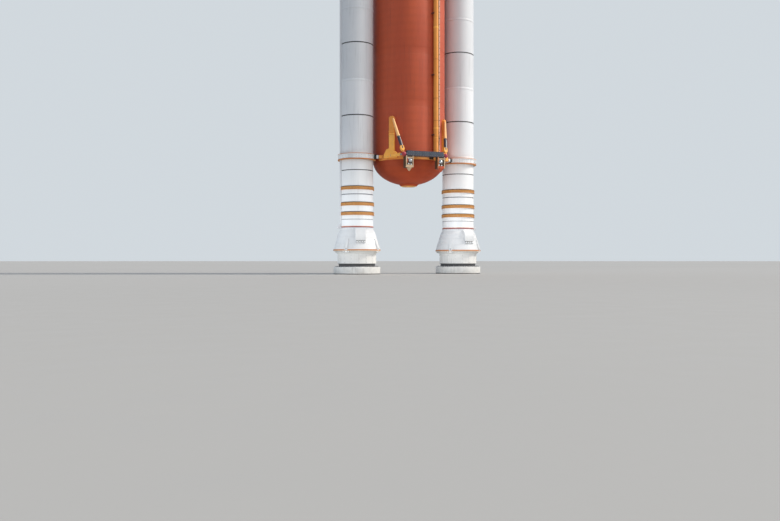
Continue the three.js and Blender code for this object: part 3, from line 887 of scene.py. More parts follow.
class Studio:
    """The camera where the photograph was taken from, the pale floor and the soft light."""

    floor_reach = 900.0
    sides = 128
    cool = (0.94, 0.97, 1.0)

    def build(self) -> None:
        """Sets up the camera, floor, sun, sky and soft boxes."""
        self.camera()
        self.floor()
        self.sun("key", 90, tan(radians(42)), 2.98, 10, (1.0, 0.94, 0.86))
        self.sun("bounce", 52, 0.25, 1.1, 80, (1.0, 0.88, 0.78))
        self.fill()
        self.sky()

    def camera(self) -> None:
        """Places the photograph's camera, level and without shift."""
        data = bpy.data.cameras.new("photo_camera")
        data.sensor_width = SENSOR_MM
        data.lens = SENSOR_MM * FOCAL_PX / PHOTO_WIDTH
        data.clip_end = 3000
        x, y, z = (MODEL_SCALE * value for value in CAMERA_REAL)
        camera = self.stand(data, (x, y + STACK_Y, z))
        camera.rotation_euler = (radians(90), 0, radians(-CAMERA_YAW))
        bpy.context.scene.camera = camera

    def stand(self, data: Any, place: Point = (0, 0, 0)) -> bpy.types.Object:
        """Puts a camera, lamp or mesh into the scene under its own name.

        Args:
            data: the camera, lamp or mesh.
            place: where it stands.

        Returns:
            Its object.
        """
        thing = bpy.data.objects.new(data.name, data)
        thing.location = place
        bpy.context.scene.collection.objects.link(thing)
        return thing

    def floor(self) -> None:
        """Lays a wide pale round floor."""
        mesh = bpy.data.meshes.new("studio_floor")
        mesh.from_pydata([(x, y, 0) for x, y in circle(self.sides, self.floor_reach)], [],
                         [tuple(range(self.sides))])
        mesh.materials.append(FLOOR.material())
        self.stand(mesh)

    def bearing(self, right: float) -> Pair:
        """The direction on the floor that lies so many degrees right of the camera."""
        toward = -pi / 2 - radians(CAMERA_YAW) + radians(right)
        return cos(toward), sin(toward)

    def sun(self, name: str, right: float, rise: float, energy: float, soft: float,
            colour: Colour) -> None:
        """Hangs a sun.

        Args:
            name: its name.
            right: its bearing, in degrees right of the camera.
            rise: its height for each metre out.
            energy: its strength.
            soft: the angle that it fills, in degrees.
            colour: its colour.
        """
        light = bpy.data.lights.new(name, "SUN")
        light.energy, light.angle, light.color = energy, radians(soft), colour
        toward = Vector((*self.bearing(right), rise))
        self.stand(light).rotation_euler = toward.to_track_quat("Z", "Y").to_euler()

    def fill(self) -> None:
        """Stands soft boxes low beside and in front of the boosters, turned on their skirts."""
        for side, right, energy, spread, aim in (
            (Side.LEFT, -60, 54, 105, 3.9), (Side.LEFT, 60, 20, 56, 4.0),
            (Side.LEFT, -15, 15, 80, 2.2), (Side.RIGHT, -20, 60, 105, 3.6),
        ):
            box = bpy.data.lights.new(f"{side.name.lower()}_foot_fill_{right}", "AREA")
            box.shape = "RECTANGLE"
            box.size, box.size_y = 3.0, 2.0
            box.energy, box.spread, box.color = energy, radians(spread), self.cool
            foot = Vector((side.value * BOOSTER_X, STACK_Y, aim))
            x, y = self.bearing(right)
            lamp = self.stand(box, foot + Vector((6 * x, 6 * y, -1.5)))
            lamp.rotation_euler = (lamp.location - foot).to_track_quat("Z", "Y").to_euler()
            lamp.visible_camera = False

    def sky(self) -> None:
        """Spreads a pale sky, which the camera sees a little greyer than it lights."""
        world = bpy.context.scene.world = bpy.data.worlds.new("pale_sky")
        world.use_nodes = True
        graph = Graph(world.node_tree)
        lit = graph.node("Background", {"Color": (0.74, 0.85, 1.0), "Strength": 0.65})
        shown = graph.node("Background", {"Color": (0.64, 0.69, 0.73), "Strength": 1.0})
        seen = graph.node("LightPath").outputs["Is Camera Ray"]
        both = graph.node("MixShader", {0: seen, 1: lit.outputs[0], 2: shown.outputs[0]})
        graph.node("OutputWorld", {"Surface": both.outputs[0]})
        bpy.context.scene.view_settings.view_transform = "Standard"


def booster_place(side: Side) -> Matrix:
    """A booster's own axes: its standing rim at zero and the tank on its +X side.

    Args:
        side: the booster's side.

    Returns:
        The placing matrix.
    """
    low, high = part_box(f"{side.name.lower()}_plinth")
    to = Matrix.Translation(((low.x + high.x) / 2, (low.y + high.y) / 2, high.z))
    return to @ turned(180 if side is Side.RIGHT else 0)


def tank_place() -> Matrix:
    """The tank's own axes, with heights counted from the boosters' standing rim.

    Returns:
        The placing matrix.
    """
    low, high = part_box("hydrogen_tank")
    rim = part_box("left_plinth")[1].z
    return Matrix.Translation(((low.x + high.x) / 2, (low.y + high.y) / 2, rim))


@dataclass
class Assembly(Form):
    """A sub-assembly, which draws its pieces one by one, named after its side if it has one."""

    at: Matrix
    side: Optional[Side] = None

    def name(self, piece: str) -> str:
        """The piece's name with the side before it."""
        return f"{self.side.name.lower()}_{piece}" if self.side else piece

    def piece(self, name: str, slot: str, node: str, *drawn: Callable[[], None],
              body: str = "") -> None:
        """Makes one piece.

        Args:
            name: the piece's name without its side.
            slot: the record's material slot of its main finish.
            node: the CAD node that it stands for, without its side.
            drawn: the methods that draw it, in order.
            body: the body that it rides on, without its side, if it isn't the root.
        """
        self.clear()
        for draw in drawn:
            draw()
        self.emit(self.name(name), self.name(body) if body else "root", slot, self.name(node))

    def build(self) -> None:
        """Makes the assembly's pieces."""
        raise NotImplementedError


@dataclass
class Plinth(Assembly):
    """Hollow round pedestal: a wide foot, a recess painted dark as shade, a drum and a flared rim.
    """

    base: float = -1.35
    bore: float = 1.0
    foot_r: float = 1.33
    foot_top: float = -0.94
    recess_r: float = 1.04
    drum: Pair = (-0.76, -0.2)
    drum_r: float = 1.1
    flare_top: float = -0.06
    rim_r: float = 1.35

    def build(self) -> None:
        """Makes the pedestal."""
        self.piece("plinth_body", "plinth_grey", "plinth", self.body, self.seams, self.anchors,
                   self.pads)

    def body(self) -> None:
        """Turns the pedestal's body."""
        drum, flare = self.drum
        Outline(
            (self.bore, self.base), (self.foot_r - 0.02, self.base, RECESS_SHADE),
            (self.foot_r, self.base + 0.03), (self.foot_r, self.foot_top, PLINTH),
            (self.recess_r, self.foot_top), (self.recess_r, drum, RECESS_SHADE), (self.drum_r, drum),
            (self.drum_r, flare, PLINTH), (self.rim_r - 0.1, self.flare_top),
            (self.rim_r, self.flare_top + 0.02), (self.rim_r, -0.012, CREAM),
            (self.rim_r - 0.006, 0.0, RIM), (self.bore + 0.02, 0.0, STEEL),
            (self.bore, -0.02),
        ).turn(self, soften=0.012)

    def seams(self) -> None:
        """Puts the bolted cover strips over the drum's upright joints."""
        strip, (low, high) = Form(), self.drum
        middle, tall = (low + high) / 2, high - low - 0.06
        strip.block((0.016, 0.05, tall), move(self.drum_r + 0.004, 0, middle), PLINTH)
        for share in (-0.42, 0.0, 0.42):
            strip.bolts(0.009, 0.006, lying(self.drum_r + 0.012, 0, middle + share * tall))
        self.copies(strip, every(16, 11.25))

    def anchors(self) -> None:
        """Stands anchor bolts on small plates round the foot's ledge."""
        unit, top = Form(), self.foot_top
        unit.block((0.15, 0.13, 0.014), move(1.2, 0, top + 0.007), STEEL)
        unit.bolts(0.024, 0.03, move(1.2, 0, top + 0.014))
        self.copies(unit, every(24, 7.5))

    def pads(self) -> None:
        """Sets a bearing shoe under the rim below each of the skirt's four posts."""
        shoe = Form()
        shoe.block((0.05, 0.34, 0.09), move(self.rim_r - 0.045, 0, -0.075), PLINTH, 0.01)
        for y in (-0.11, 0.11):
            shoe.bolts(0.02, 0.008, lying(self.rim_r - 0.02, y, -0.075))
        self.copies(shoe, every(4, 45))


@dataclass
class AftSkirt(Assembly):
    """Open cone that carries the booster, with hold-down posts and a housing for small motors."""

    rim_r: float = 1.345
    top: float = 1.33
    top_r: float = 0.945
    motors_angle: float = 97.6
    wall: float = 0.045

    def build(self) -> None:
        """Makes the skirt."""
        self.piece("skirt_shell", "skirt_white", "aft_skirt", self.cone, self.posts, self.housing,
                   self.panels)

    def cone_r(self, z: float) -> float:
        """The cone's outer radius.

        Args:
            z: the height.

        Returns:
            The radius there.
        """
        for (r0, z0), (r1, z1) in (((1.325, 0.06), (1.045, 1.0)), ((1.045, 1.0), (0.96, 1.15))):
            if z <= z1:
                return r0 + (r1 - r0) * (z - z0) / (z1 - z0)
        return self.top_r

    def cone(self) -> None:
        """Turns the shell, with its rim, ring frames and upper flange."""
        rim, flange = self.rim_r, self.top_r
        outline = Outline(
            (1.285, 0.0), (rim - 0.004, 0.0, RIM), (rim, 0.008), (rim, 0.056),
            (rim - 0.004, 0.06, SKIRT), (self.cone_r(0.06), 0.06))
        for z in (0.36, 0.72, 0.985):
            r = self.cone_r(z)
            outline.draw((r, z - 0.012), (r + 0.006, z - 0.01), (r + 0.003, z + 0.01),
                         (self.cone_r(z + 0.012), z + 0.012))
        outline.draw((1.045, 1.0), (0.96, 1.15), (flange, 1.175), (flange, 1.282),
                     (flange, self.top - 0.012, RED), (flange, self.top),
                     (0.895, self.top, SKIRT), (0.895, 1.16))
        for z in (0.95, 0.55, 0.2):
            r = self.cone_r(z) - self.wall
            outline.draw((r, z + 0.02), (r - 0.05, z + 0.02), (r - 0.05, z - 0.02), (r, z - 0.02))
        outline.draw((1.275, 0.06)).turn(self, soften=0.004)
        self.bolts(0.011, 0.008, lying(rim - 0.002, 0, 0.034), every(60, 3))
        self.bolts(0.009, 0.006, lying(flange - 0.001, 0, 1.235), every(48))

    def posts(self) -> None:
        """Stands the four hold-down posts, each with its stud and two side ribs."""
        post, rim, upright = Form(), self.rim_r, turned(90, "X")
        body = [(1.15, 0.004), (rim, 0.004), (rim, 0.15), (1.19, 0.64), (1.05, 0.64)]
        post.prism(body, 0.19, upright, SKIRT, 0.012)
        rib = [(1.17, 0.004), (rim - 0.01, 0.004), (rim - 0.01, 0.1), (1.16, 0.56), (1.1, 0.56)]
        for y in (-0.135, 0.135):
            post.prism(rib, 0.03, move(0, y, 0) @ upright, SKIRT, 0.006)
        post.block((0.05, 0.29, 0.03), move(rim - 0.03, 0, 0.03), SKIRT, 0.006)
        post.bolts(0.04, 0.03, lying(rim - 0.034, 0, 0.09))
        self.copies(post, every(4, 45))

    def housing(self) -> None:
        """Builds the motor housing on the skirt's wall, with four small nozzles below it."""
        box, upright = Form(), turned(90, "X")
        shell = [(0.98, 0.54), (1.235, 0.54), (1.255, 0.6), (1.15, 1.08), (1.01, 1.25),
                 (0.9, 1.25), (0.9, 0.9)]
        box.prism(shell, 0.6, upright, SKIRT, 0.02)
        line = [(1.2, 0.6), (1.258, 0.6), (1.154, 1.07), (1.1, 1.07)]
        for y in (-0.2, 0.0, 0.2):
            box.prism(line, 0.012, move(0, y, 0) @ upright, SKIRT, 0.002)
        bell = ((0.0, 1.0), (0.06, 1.0), (0.08, 0.93), (0.9, 0.62), (1.0, 0.62))
        for i in range(4):
            y = 0.14 * (i - 1.5)
            box.bar((1.235, y, 0.425), (1.12, y, 0.58), 0.062, SKIRT, bell, sides=24)
            box.bar((1.2345, y, 0.4265), (1.16, y, 0.526), 0.05, CHAR, sides=20)
        self.copies(box, [turned(self.housing_angle())])

    def housing_angle(self) -> float:
        """The housing's angle from the tank's side, mirrored between the two boosters."""
        return self.motors_angle * self.side.value

    def panels(self) -> None:
        """Screws small access covers to the wall between the posts, clear of the housing."""
        for angle, z, size in ((10, 0.6, 0.2), (75, 0.5, 0.14), (160, 0.78, 0.18), (200, 0.3, 0.2),
                               (290, 0.75, 0.16), (340, 0.35, 0.2)):
            if abs(self.housing_angle() % 360 - angle) < 32:
                continue
            lean = atan2(self.cone_r(z - 0.1) - self.cone_r(z + 0.1), 0.2)
            plate, place = Form(), move(self.cone_r(z), 0, z) @ turned(degrees(-lean), "Y")
            plate.block((0.012, size * 1.3, size), place, SKIRT)
            for y, up in product((-0.5, 0.5), (-0.42, 0.42)):
                plate.bolts(0.006, 0.004, place @ lying(0.006, y * size * 1.15, up * size))
            self.copies(plate, [turned(angle)])


@dataclass
class AftDome(Assembly):
    """Lower closure of the motor, with the round socket that the nozzle's bearing turns in."""

    pivot: float = 1.05
    socket: float = 0.506
    top: float = 1.7

    def build(self) -> None:
        """Makes the closure."""
        self.piece("motor_closure", "booster_white", "aft_dome", self.closure)

    def closure(self) -> None:
        """Turns the closure and bolts it to the case."""
        start, end, steps = radians(22), radians(96.8), 12
        wall = [(self.socket * sin(a), self.pivot + self.socket * cos(a))
                for a in (start + (end - start) * i / steps for i in range(steps + 1))]
        outline = Outline(
            wall[-1], (0.6, 0.99, CHAR), (0.6, 1.05, STEEL), (0.76, 1.12, CASE),
            (0.85, 1.22), (0.88, 1.331), (CASE_R, 1.331))
        outline.step(1.335, 1.365, 0.004, CASE, RIM)
        outline.draw((CASE_R, self.top, CASE), (wall[0][0], self.top))
        outline.draw(*wall, coat=CHAR).turn(self)
        self.bolts(0.014, 0.014, move(0.68, 0, 1.085) @ turned(156.4, "Y"), every(36))


@dataclass
class Nozzle(Assembly):
    """Gimballed nozzle: rubber bearing, throat with its ball, and the exit cone."""

    pivot: float = 1.05
    ball_r: float = 0.432
    bearing: Pair = (0.446, 0.492)
    bearing_arc: Pair = (45, 96)
    flange: tuple[float, float, float] = (0.64, 0.715, 0.805)
    joint: float = 0.76
    exit_z: float = 0.2
    pin: float = 0.034

    def build(self) -> None:
        """Makes the bearing on its own body, and the throat and exit cone on the bell's."""
        self.piece("bearing_rings", "bearing_rubber", "flex_bearing", self.bearing_rings,
                   body="gimbal")
        self.piece("nozzle_throat", "nozzle_dark", "nozzle", self.throat, body="bell")
        self.piece("nozzle_cone", "nozzle_dark", "exit_cone", self.exit_cone, body="bell")

    def on_arc(self, radius: float, angle: float) -> Pair:
        """A point of a ball about the pivot, at an angle from straight up."""
        a = radians(angle)
        return radius * sin(a), self.pivot + radius * cos(a)

    def bearing_rings(self) -> None:
        """Lays rubber and steel rings in turn between two balls, with the pins they turn on."""
        (inner, outer), (first, last), steps = self.bearing, self.bearing_arc, 24
        outline = Outline(self.on_arc(inner, first))
        outline.draw(*(self.on_arc(inner, first + (last - first) * i / 8) for i in range(1, 9)),
                     coat=BLACK)
        for i in range(steps + 1):
            proud, coat = (outer - 0.004, BLACK) if i % 2 else (outer, STEEL)
            outline.draw(self.on_arc(proud, last + (first - last) * i / steps), coat=coat)
        outline.turn(self, sides=96, soften=0.001)
        for end in (-1, 1):
            self.bar((end * (inner + outer) / 2, 0, self.pivot), (end * 0.575, 0, self.pivot),
                     self.pin, STEEL, ((0, 1), (0.92, 1), (1, 0.85)))

    def throat(self) -> None:
        """Turns the throat with its ball, flange, pins and flange bolts."""
        r, _, top = self.flange
        outline = Outline((0.02, 1.1), (0.33, 1.1, CHAR), (0.322, 1.04), (0.33, 0.96),
                          (0.41, 0.862), (0.515, self.joint), (r, self.joint, STEEL),
                          (r, top), (0.548, top), (0.5, 0.83, CHAR))
        outline.draw(*(self.on_arc(self.ball_r, 108 - 68 * i / 12) for i in range(13)))
        outline.draw((0.02, 1.381)).turn(self, sides=96, soften=0.002, wrap=False)
        for end in (-1, 1):
            self.bar((0, end * 0.4, self.pivot), (0, end * 0.48, self.pivot), self.pin, STEEL,
                     ((0, 1), (0.9, 1), (1, 0.85)))
        self.bolts(0.012, 0.014, move(0.606, 0, top), every(40))

    def exit_cone(self) -> None:
        """Turns the exit cone with its wrapped bands, exit ring and flange bolts."""
        r, low, _ = self.flange
        outline = Outline(
            (0.515, self.joint), (0.565, 0.69, CHAR), (0.62, 0.59), (0.665, 0.5),
            (0.712, 0.39), (0.748, 0.29), (0.775, self.exit_z), (0.815, self.exit_z),
            (0.815, 0.24, STEEL), (0.793, 0.25))
        for out, z in ((0.772, 0.3), (0.744, 0.37), (0.716, 0.44)):
            outline.draw((out - 0.002, z - 0.012, CHAR), (out + 0.012, z - 0.008, SHADE),
                         (out + 0.006, z + 0.008), (out - 0.01, z + 0.012))
        outline.draw((0.69, 0.5, CHAR), (0.632, 0.6), (0.56, low), (r, low, STEEL),
                     (r, self.joint)).turn(self, sides=96)
        self.bolts(0.012, 0.014, move(0.606, 0, low) @ turned(180, "X"), every(40))


@dataclass
class MotorCase(Assembly):
    """The four motor segments and the forward skirt, with every ring and line round them."""

    wall: float = 0.03
    band: Pair = (0.12, 0.01)
    stiffeners: tuple[float, ...] = (2.06, 2.6, 3.5)
    stiffener: Pair = (0.082, 0.06)
    pins: int = 90
    black_lines: tuple[float, ...] = (7.6, 11.675, 15.735)
    grey_lines: tuple[float, ...] = (1.7, 3.155, 4.515)
    fine_lines: tuple[float, ...] = (18.35, 18.9)
    joints: tuple[float, ...] = (1.7, 5.575, 9.64, 13.705, 17.875, 19.5)

    def build(self) -> None:
        """Makes each segment between its two joints."""
        names = ("aft_segment", "aft_center_segment", "forward_center_segment",
                 "forward_segment", "forward_skirt")
        extras = {"aft_segment": [self.ring_bolts], "forward_skirt": [self.hatches]}
        for node, low, high in zip(names, self.joints, self.joints[1:]):
            self.piece(f"{node}_shell", "booster_white", node, partial(self.segment, low, high),
                       *extras.get(node, ()))

    def segment(self, low: float, high: float) -> None:
        """Turns one segment, with its band of pins.

        Args:
            low: its lower joint.
            high: its upper joint, with the band below it.
        """
        paint, r, (tall, proud) = self.paint(low), CASE_R, self.band
        outline = Outline((r - self.wall, low), (r - 0.003, low, paint), (r, low + 0.004))
        line = DIM if low == self.joints[0] else paint
        outline.step(low + 0.03, low + 0.056, -0.003, paint, line)
        for z in sorted((*self.stiffeners, *self.black_lines, *self.grey_lines, *self.fine_lines)):
            if low + 0.1 < z < high - 0.2:
                self.feature(outline, z, paint)
        outline.step(high - tall - 0.022, high - tall - 0.01, -0.003, paint, paint)
        outline.draw((r, high - tall), (r + proud, high - tall), (r + proud, high - 0.006),
                     (r + proud - 0.006, high), (r - self.wall, high))
        outline.turn(self, soften=0.0025)
        pin, z, face = Form(), high - tall / 2, r + proud
        pin.bar((face - 0.002, 0, z), (face + 0.0035, 0, z), 0.0125, MIDDLE,
                ((0, 1), (0.7, 1), (1, 0.8)), sides=10)
        self.copies(pin, every(self.pins))

    def paint(self, z: float) -> Finish:
        """The paint of the wall from a height up, which is whiter low down: partly the paint's real
        step below the attach ring, partly painted shade for the dimmer light higher up.

        Args:
            z: the height.

        Returns:
            The finish.
        """
        if z < 5.5:
            return CASE
        return MIDDLE if z < 9.6 else UPPER

    def feature(self, outline: Outline, z: float, paint: Finish) -> None:
        """Draws the ring or line at a height.

        Args:
            outline: the segment's outline.
            z: the height.
            paint: the wall's paint.
        """
        if z in self.stiffeners:
            half, proud = self.stiffener
            r, out = CASE_R, CASE_R + proud
            outline.draw(
                (r, z - half, paint), (out, z - half, TAN), (out, z - half + 0.03),
                (out - 0.014, z - half + 0.036), (out - 0.014, z + half - 0.05),
                (out, z + half - 0.044), (out, z + half), (r + 0.036, z + half + 0.004, SHADE),
                (r + 0.036, z + half + 0.042), (r, z + half + 0.046))
        elif z in self.black_lines:
            outline.step(z - 0.05, z - 0.034, 0.006, paint, SKIRT)
            outline.step(z - 0.027, z + 0.027, -0.006, paint, SEAM)
        elif z in self.grey_lines:
            outline.step(z - 0.044, z - 0.026, 0.005, paint, paint)
            outline.step(z - 0.022, z + 0.022, -0.004, paint, SEAM if z > 4 else DIM)
        else:
            outline.step(z - 0.009, z + 0.009, -0.004, paint, DIM)

    def ring_bolts(self) -> None:
        """Bolts each stiffener ring's quarters together and to the case."""
        face = CASE_R + self.stiffener[1]
        for z in self.stiffeners:
            self.bolts(0.008, 0.008, lying(face - 0.014, 0, z - 0.008), every(36, 2))
            splice = Form()
            splice.block((0.012, 0.16, 0.1), move(face - 0.006, 0, z), TAN, 0.003)
            self.copies(splice, every(4, 27))

    def hatches(self) -> None:
        """Fits the forward skirt's covers: round ports and two screwed hatches."""
        for angle, z, size in ((-60, 18.55, 0.3), (130, 18.6, 0.26)):
            plate = Form()
            plate.block((0.016, size, size * 1.25), move(CASE_R - 0.001, 0, z), UPPER, 0.005)
            for y, up in product((-0.42, 0.42), (-0.52, 0.0, 0.52)):
                plate.bolts(0.006, 0.004, lying(CASE_R + 0.006, y * size, z + up * size))
            self.copies(plate, [turned(angle)])
        port = Form()
        port.bar((CASE_R - 0.012, 0, 19.15), (CASE_R + 0.006, 0, 19.15), 0.07, UPPER,
                 ((0, 1), (0.8, 1), (1, 0.93)))
        self.copies(port, [turned(angle) for angle in (-95, -75, 60, 95)])


@dataclass
class AttachRing(Assembly):
    """Ring with two flanges round the aft segment, cut flat beside the tank."""

    low: float = 5.105
    high: float = 5.445
    inner: float = 0.929
    web_r: float = 1.058
    flange_r: float = 1.09
    flange: float = 0.06
    flat_x: float = 0.97
    gap: float = 34

    def build(self) -> None:
        """Makes the ring."""
        self.piece("attach_ring_web", "booster_white", "attach_ring", self.ring, self.ribs,
                   self.boxes)

    def ring(self) -> None:
        """Turns the web and its two flanges."""
        web, out = self.web_r, self.flange_r
        lower, upper = self.low + self.flange, self.high - self.flange
        Outline(
            (self.inner, self.low), (out, self.low, TAN), (out, lower, RIM),
            (web, lower, CASE), (web, upper), (out, upper), (out, self.high - 0.03),
            (out, self.high, RIM), (self.inner, self.high),
        ).turn(self, flat_x=self.flat_x)

    def ribs(self) -> None:
        """Sets ribs and pairs of bolts round the web, clear of the flat."""
        middle, rib = (self.low + self.high) / 2, Form()
        rib.block((0.03, 0.014, self.high - self.low - 2 * self.flange),
                  move(self.web_r + 0.002, 0, middle), CASE, 0.003)
        angles = [5 + 15.0 * i for i in range(24)]
        clear = [a for a in angles if self.gap <= a <= 360 - self.gap]
        self.copies(rib, [turned(a) for a in clear])
        for up in (-0.06, 0.06):
            self.bolts(0.009, 0.007, lying(self.web_r, 0, middle),
                       [move(0, 0, up) @ turned(a + 5) for a in clear])

    def boxes(self) -> None:
        """Hangs two electronics boxes in the ring's web."""
        unit = Form()
        unit.block((0.06, 0.3, 0.18), move(self.web_r + 0.004, 0, (self.low + self.high) / 2),
                   SKIRT, 0.012)
        unit.block((0.03, 0.06, 0.05), move(self.web_r + 0.012, 0.09, self.low + 0.13), STEEL)
        self.copies(unit, [turned(140), turned(232)])


@dataclass
class BoosterTop(Assembly):
    """Frustum with its covered separation motors, and the rounded nose."""

    nose_r: float = 0.435
    low: float = 19.5
    joint: float = 21.025
    tip: float = 21.98
    covers_z: float = 19.78

    def build(self) -> None:
        """Makes the frustum and the nose."""
        self.piece("frustum_shell", "booster_white", "frustum", self.frustum, self.covers)
        self.piece("nose_cap", "booster_white", "booster_nose", self.nose)

    def cone_r(self, z: float) -> float:
        """The frustum's radius at a height."""
        share = (z - self.low - 0.06) / (self.joint - self.low - 0.06)
        return CASE_R + (self.nose_r - CASE_R) * share

    def frustum(self) -> None:
        """Turns the frustum with its two seams."""
        low = self.low
        outline = Outline((CASE_R - 0.04, low), (CASE_R - 0.004, low, UPPER),
                          (CASE_R, low + 0.006, SEAM), (CASE_R, low + 0.06, UPPER))
        for z in (19.95, 20.5):
            r = self.cone_r(z)
            outline.draw((r, z - 0.01, UPPER), (r - 0.003, z - 0.004, DIM),
                         (r - 0.004, z + 0.004), (self.cone_r(z + 0.01), z + 0.01))
        outline.draw((self.nose_r, self.joint, UPPER),
                     (self.nose_r - 0.04, self.joint, SEAM)).turn(self)

    def covers(self) -> None:
        """Lets four round motor covers into the lower wall on each side."""
        lean = degrees(atan2(CASE_R - self.nose_r, self.joint - self.low - 0.06))
        cover, fitted, z = Form(), Form(), self.covers_z
        cover.lathe([(0.01, -0.012), (0.084, -0.012), (0.084, 0.002), (0.078, 0.007), (0.02, 0.009),
                     (0.01, 0.009)], UPPER, sides=28)
        cover.lathe([(0.07, 0.006), (0.072, 0.006), (0.072, 0.0095), (0.07, 0.0095)], DIM,
                    sides=28, wrap=True)
        fitted.copies(cover, [move(self.cone_r(z), 0, z) @ turned(90 - lean, "Y")])
        for side in (-1, 1):
            self.copies(fitted, [turned(side * (62 - 14 * i)) for i in range(4)])

    def nose(self) -> None:
        """Turns the nose cap with its seams."""
        z = self.joint
        outline = Outline((0.02, z), (self.nose_r, z, SEAM))
        outline.step(z + 0.06, z + 0.075, -0.003, UPPER, DIM)
        outline.draw(
            (0.432, z + 0.12, UPPER), (0.415, z + 0.24), (0.39, z + 0.36), (0.36, z + 0.46),
            (0.324, z + 0.55), (0.28, z + 0.65), (0.276, z + 0.66, DIM),
            (0.225, z + 0.76, UPPER), (0.165, z + 0.85), (0.095, self.tip - 0.035),
            (0.045, self.tip - 0.009), (0.012, self.tip)).turn(self, wrap=False)


@dataclass
class SystemsTunnel(Assembly):
    """Cover over the cables down the booster's outer side, in lengths strapped end to end."""

    width: float = 0.13
    outer: float = 1.01
    low: float = 1.52
    high: float = 18.82
    tip: float = 18.9
    lengths: int = 22

    def build(self) -> None:
        """Makes the fairing."""
        self.piece("tunnel_covers", "booster_white", "systems_tunnel", self.covers, self.ends)

    def covers(self) -> None:
        """Lays the lengths of cover, with straps and screws over their ends."""
        seat, outer, half, back = CASE_R - 0.01, self.outer, self.width / 2, turned(180)
        section = [(seat, -half), (outer - 0.02, -half), (outer, -half + 0.02),
                   (outer, half - 0.02), (outer - 0.02, half), (seat, half)]
        pitch = (self.high - self.low) / self.lengths
        for i in range(self.lengths):
            low = self.low + i * pitch
            self.prism(section, pitch - 0.008, back @ move(0, 0, low + pitch / 2), UPPER)
            self.block((0.012, self.width - 0.03, 0.05), back @ move(outer - 0.005, 0, low),
                       UPPER, 0.003)
            for y in (-0.035, 0.035):
                self.bolts(0.006, 0.005, lying(outer, y, low + 0.08), [back])

    def ends(self) -> None:
        """Closes the fairing with a ramp below and a short slope above."""
        place, seat = turned(180) @ turned(90, "X"), CASE_R
        self.prism([(0.935, 1.2), (1.18, 1.27), (1.18, 1.35), (self.outer, self.low),
                    (0.92, self.low)], self.width, place, UPPER, 0.01)
        self.prism([(seat - 0.01, self.high), (self.outer, self.high), (seat + 0.01, self.tip),
                    (seat - 0.01, self.tip)], self.width, place, UPPER, 0.006)


def around(angle: float, distance: float, z: float) -> Vector:
    """A point about the tank's axis, at an angle from the payload's side towards +X."""
    a = radians(angle)
    return Vector((distance * sin(a), -distance * cos(a), z))


def facing(angle: float) -> Matrix:
    """Turns a part drawn facing +X to an angle from the payload's side towards +X."""
    return turned(angle - 90)


def bent(a: Vector, b: Vector, c: Vector, steps: int) -> list[Vector]:
    """Points of a smooth bend from a to c that leans towards b."""
    shares = [i / steps for i in range(steps + 1)]
    return [a * (1 - t) ** 2 + b * 2 * t * (1 - t) + c * t * t for t in shares]


# Sets a plate drawn as (across, up) upright, with its depth pointing out along +X.
FRONT = Matrix(((0, 0, 1, 0), (1, 0, 0, 0), (0, 1, 0, 0), (0, 0, 0, 1)))

# Where the feedline, the cable tray and the pressure line run up the tank's wall.
FEED_ANGLE, TRAY_ANGLE, PRESSURE_ANGLE = 20.7, 32.4, 28.2
# Where a diagonal, a side strut and the crossbeam meet, on the right side, and the balls' radius.
BALL_PLACE, BALL_R = (1.25, -2.44, 5.3), 0.13


@dataclass
class HydrogenTank(Assembly):
    """Long lower tank: a half-ellipse dome with its cover plate, and a straight barrel."""

    dome_top: float = 5.28
    dome_depth: float = 1.46
    cover_r: float = 0.5
    cover_drop: float = 0.08
    top: float = 17.15
    welds: tuple[float, ...] = (8.25, 11.2, 14.2)
    ramps_low: float = 5.6

    def build(self) -> None:
        """Makes the tank."""
        self.piece("hydrogen_tank_foam", "tank_foam", "hydrogen_tank", self.body, self.cover,
                   self.ramps)

    def body(self) -> None:
        """Turns the dome and the barrel, with the broad shallow trims at the welds."""
        steps, start = 26, acos(self.cover_r / TANK_R)
        base = self.dome_top - self.dome_depth * sqrt(1 - (self.cover_r / TANK_R) ** 2)
        outline = Outline((0.02, base), (self.cover_r + 0.01, base, FOAM))
        for i in range(1, steps + 1):
            a = start * (1 - i / steps)
            outline.draw((TANK_R * cos(a), self.dome_top - self.dome_depth * sin(a)),
                         coat=FOAM_DOME)
        for z in self.welds:
            outline.draw((TANK_R, z - 0.22), (TANK_R - 0.006, z - 0.2), (TANK_R - 0.006, z + 0.2),
                         (TANK_R, z + 0.22), coat=FOAM)
        outline.draw((TANK_R, self.top), (0.02, self.top))
        outline.turn(self, sides=192, soften=0.004, wrap=False)

    def cover(self) -> None:
        """Bolts the round plate under the dome's middle."""
        base, down = self.dome_top - self.dome_depth - self.cover_drop, turned(180, "X")
        Outline(
            (0.02, base), (0.17, base, GOLD), (0.17, base + 0.012),
            (0.34, base + 0.012, YELLOW), (0.34, base + 0.002, GOLD), (0.42, base + 0.004),
            (0.45, base + 0.018), (0.475, base + 0.032, FOAM_DOME), (0.5, base + 0.056),
            (0.53, base + 0.088), (0.565, base + 0.128), (0.46, base + 0.14, FOAM_DARK),
            (0.02, base + 0.14, GOLD)).turn(self, sides=96, soften=0.006, wrap=False)
        self.bolts(0.011, 0.01, move(0.37, 0, base + 0.002) @ down, every(48))
        self.bolts(0.01, 0.008, move(0.13, 0, base + 0.001) @ down, every(16))

    def ramps(self) -> None:
        """Lays long low foam ramps under the tray and the feedline."""
        high, r = self.top - 0.15, TANK_R
        for angle, wide in ((TRAY_ANGLE, 0.2), (FEED_ANGLE, 0.26)):
            loop = [(r - 0.03, -wide), (r + 0.004, -wide + 0.03), (r + 0.014, -0.05),
                    (r + 0.014, 0.05), (r + 0.004, wide - 0.03), (r - 0.03, wide)]
            self.prism(loop, high - self.ramps_low,
                       facing(angle) @ move(0, 0, (self.ramps_low + high) / 2), FOAM, 0.006)


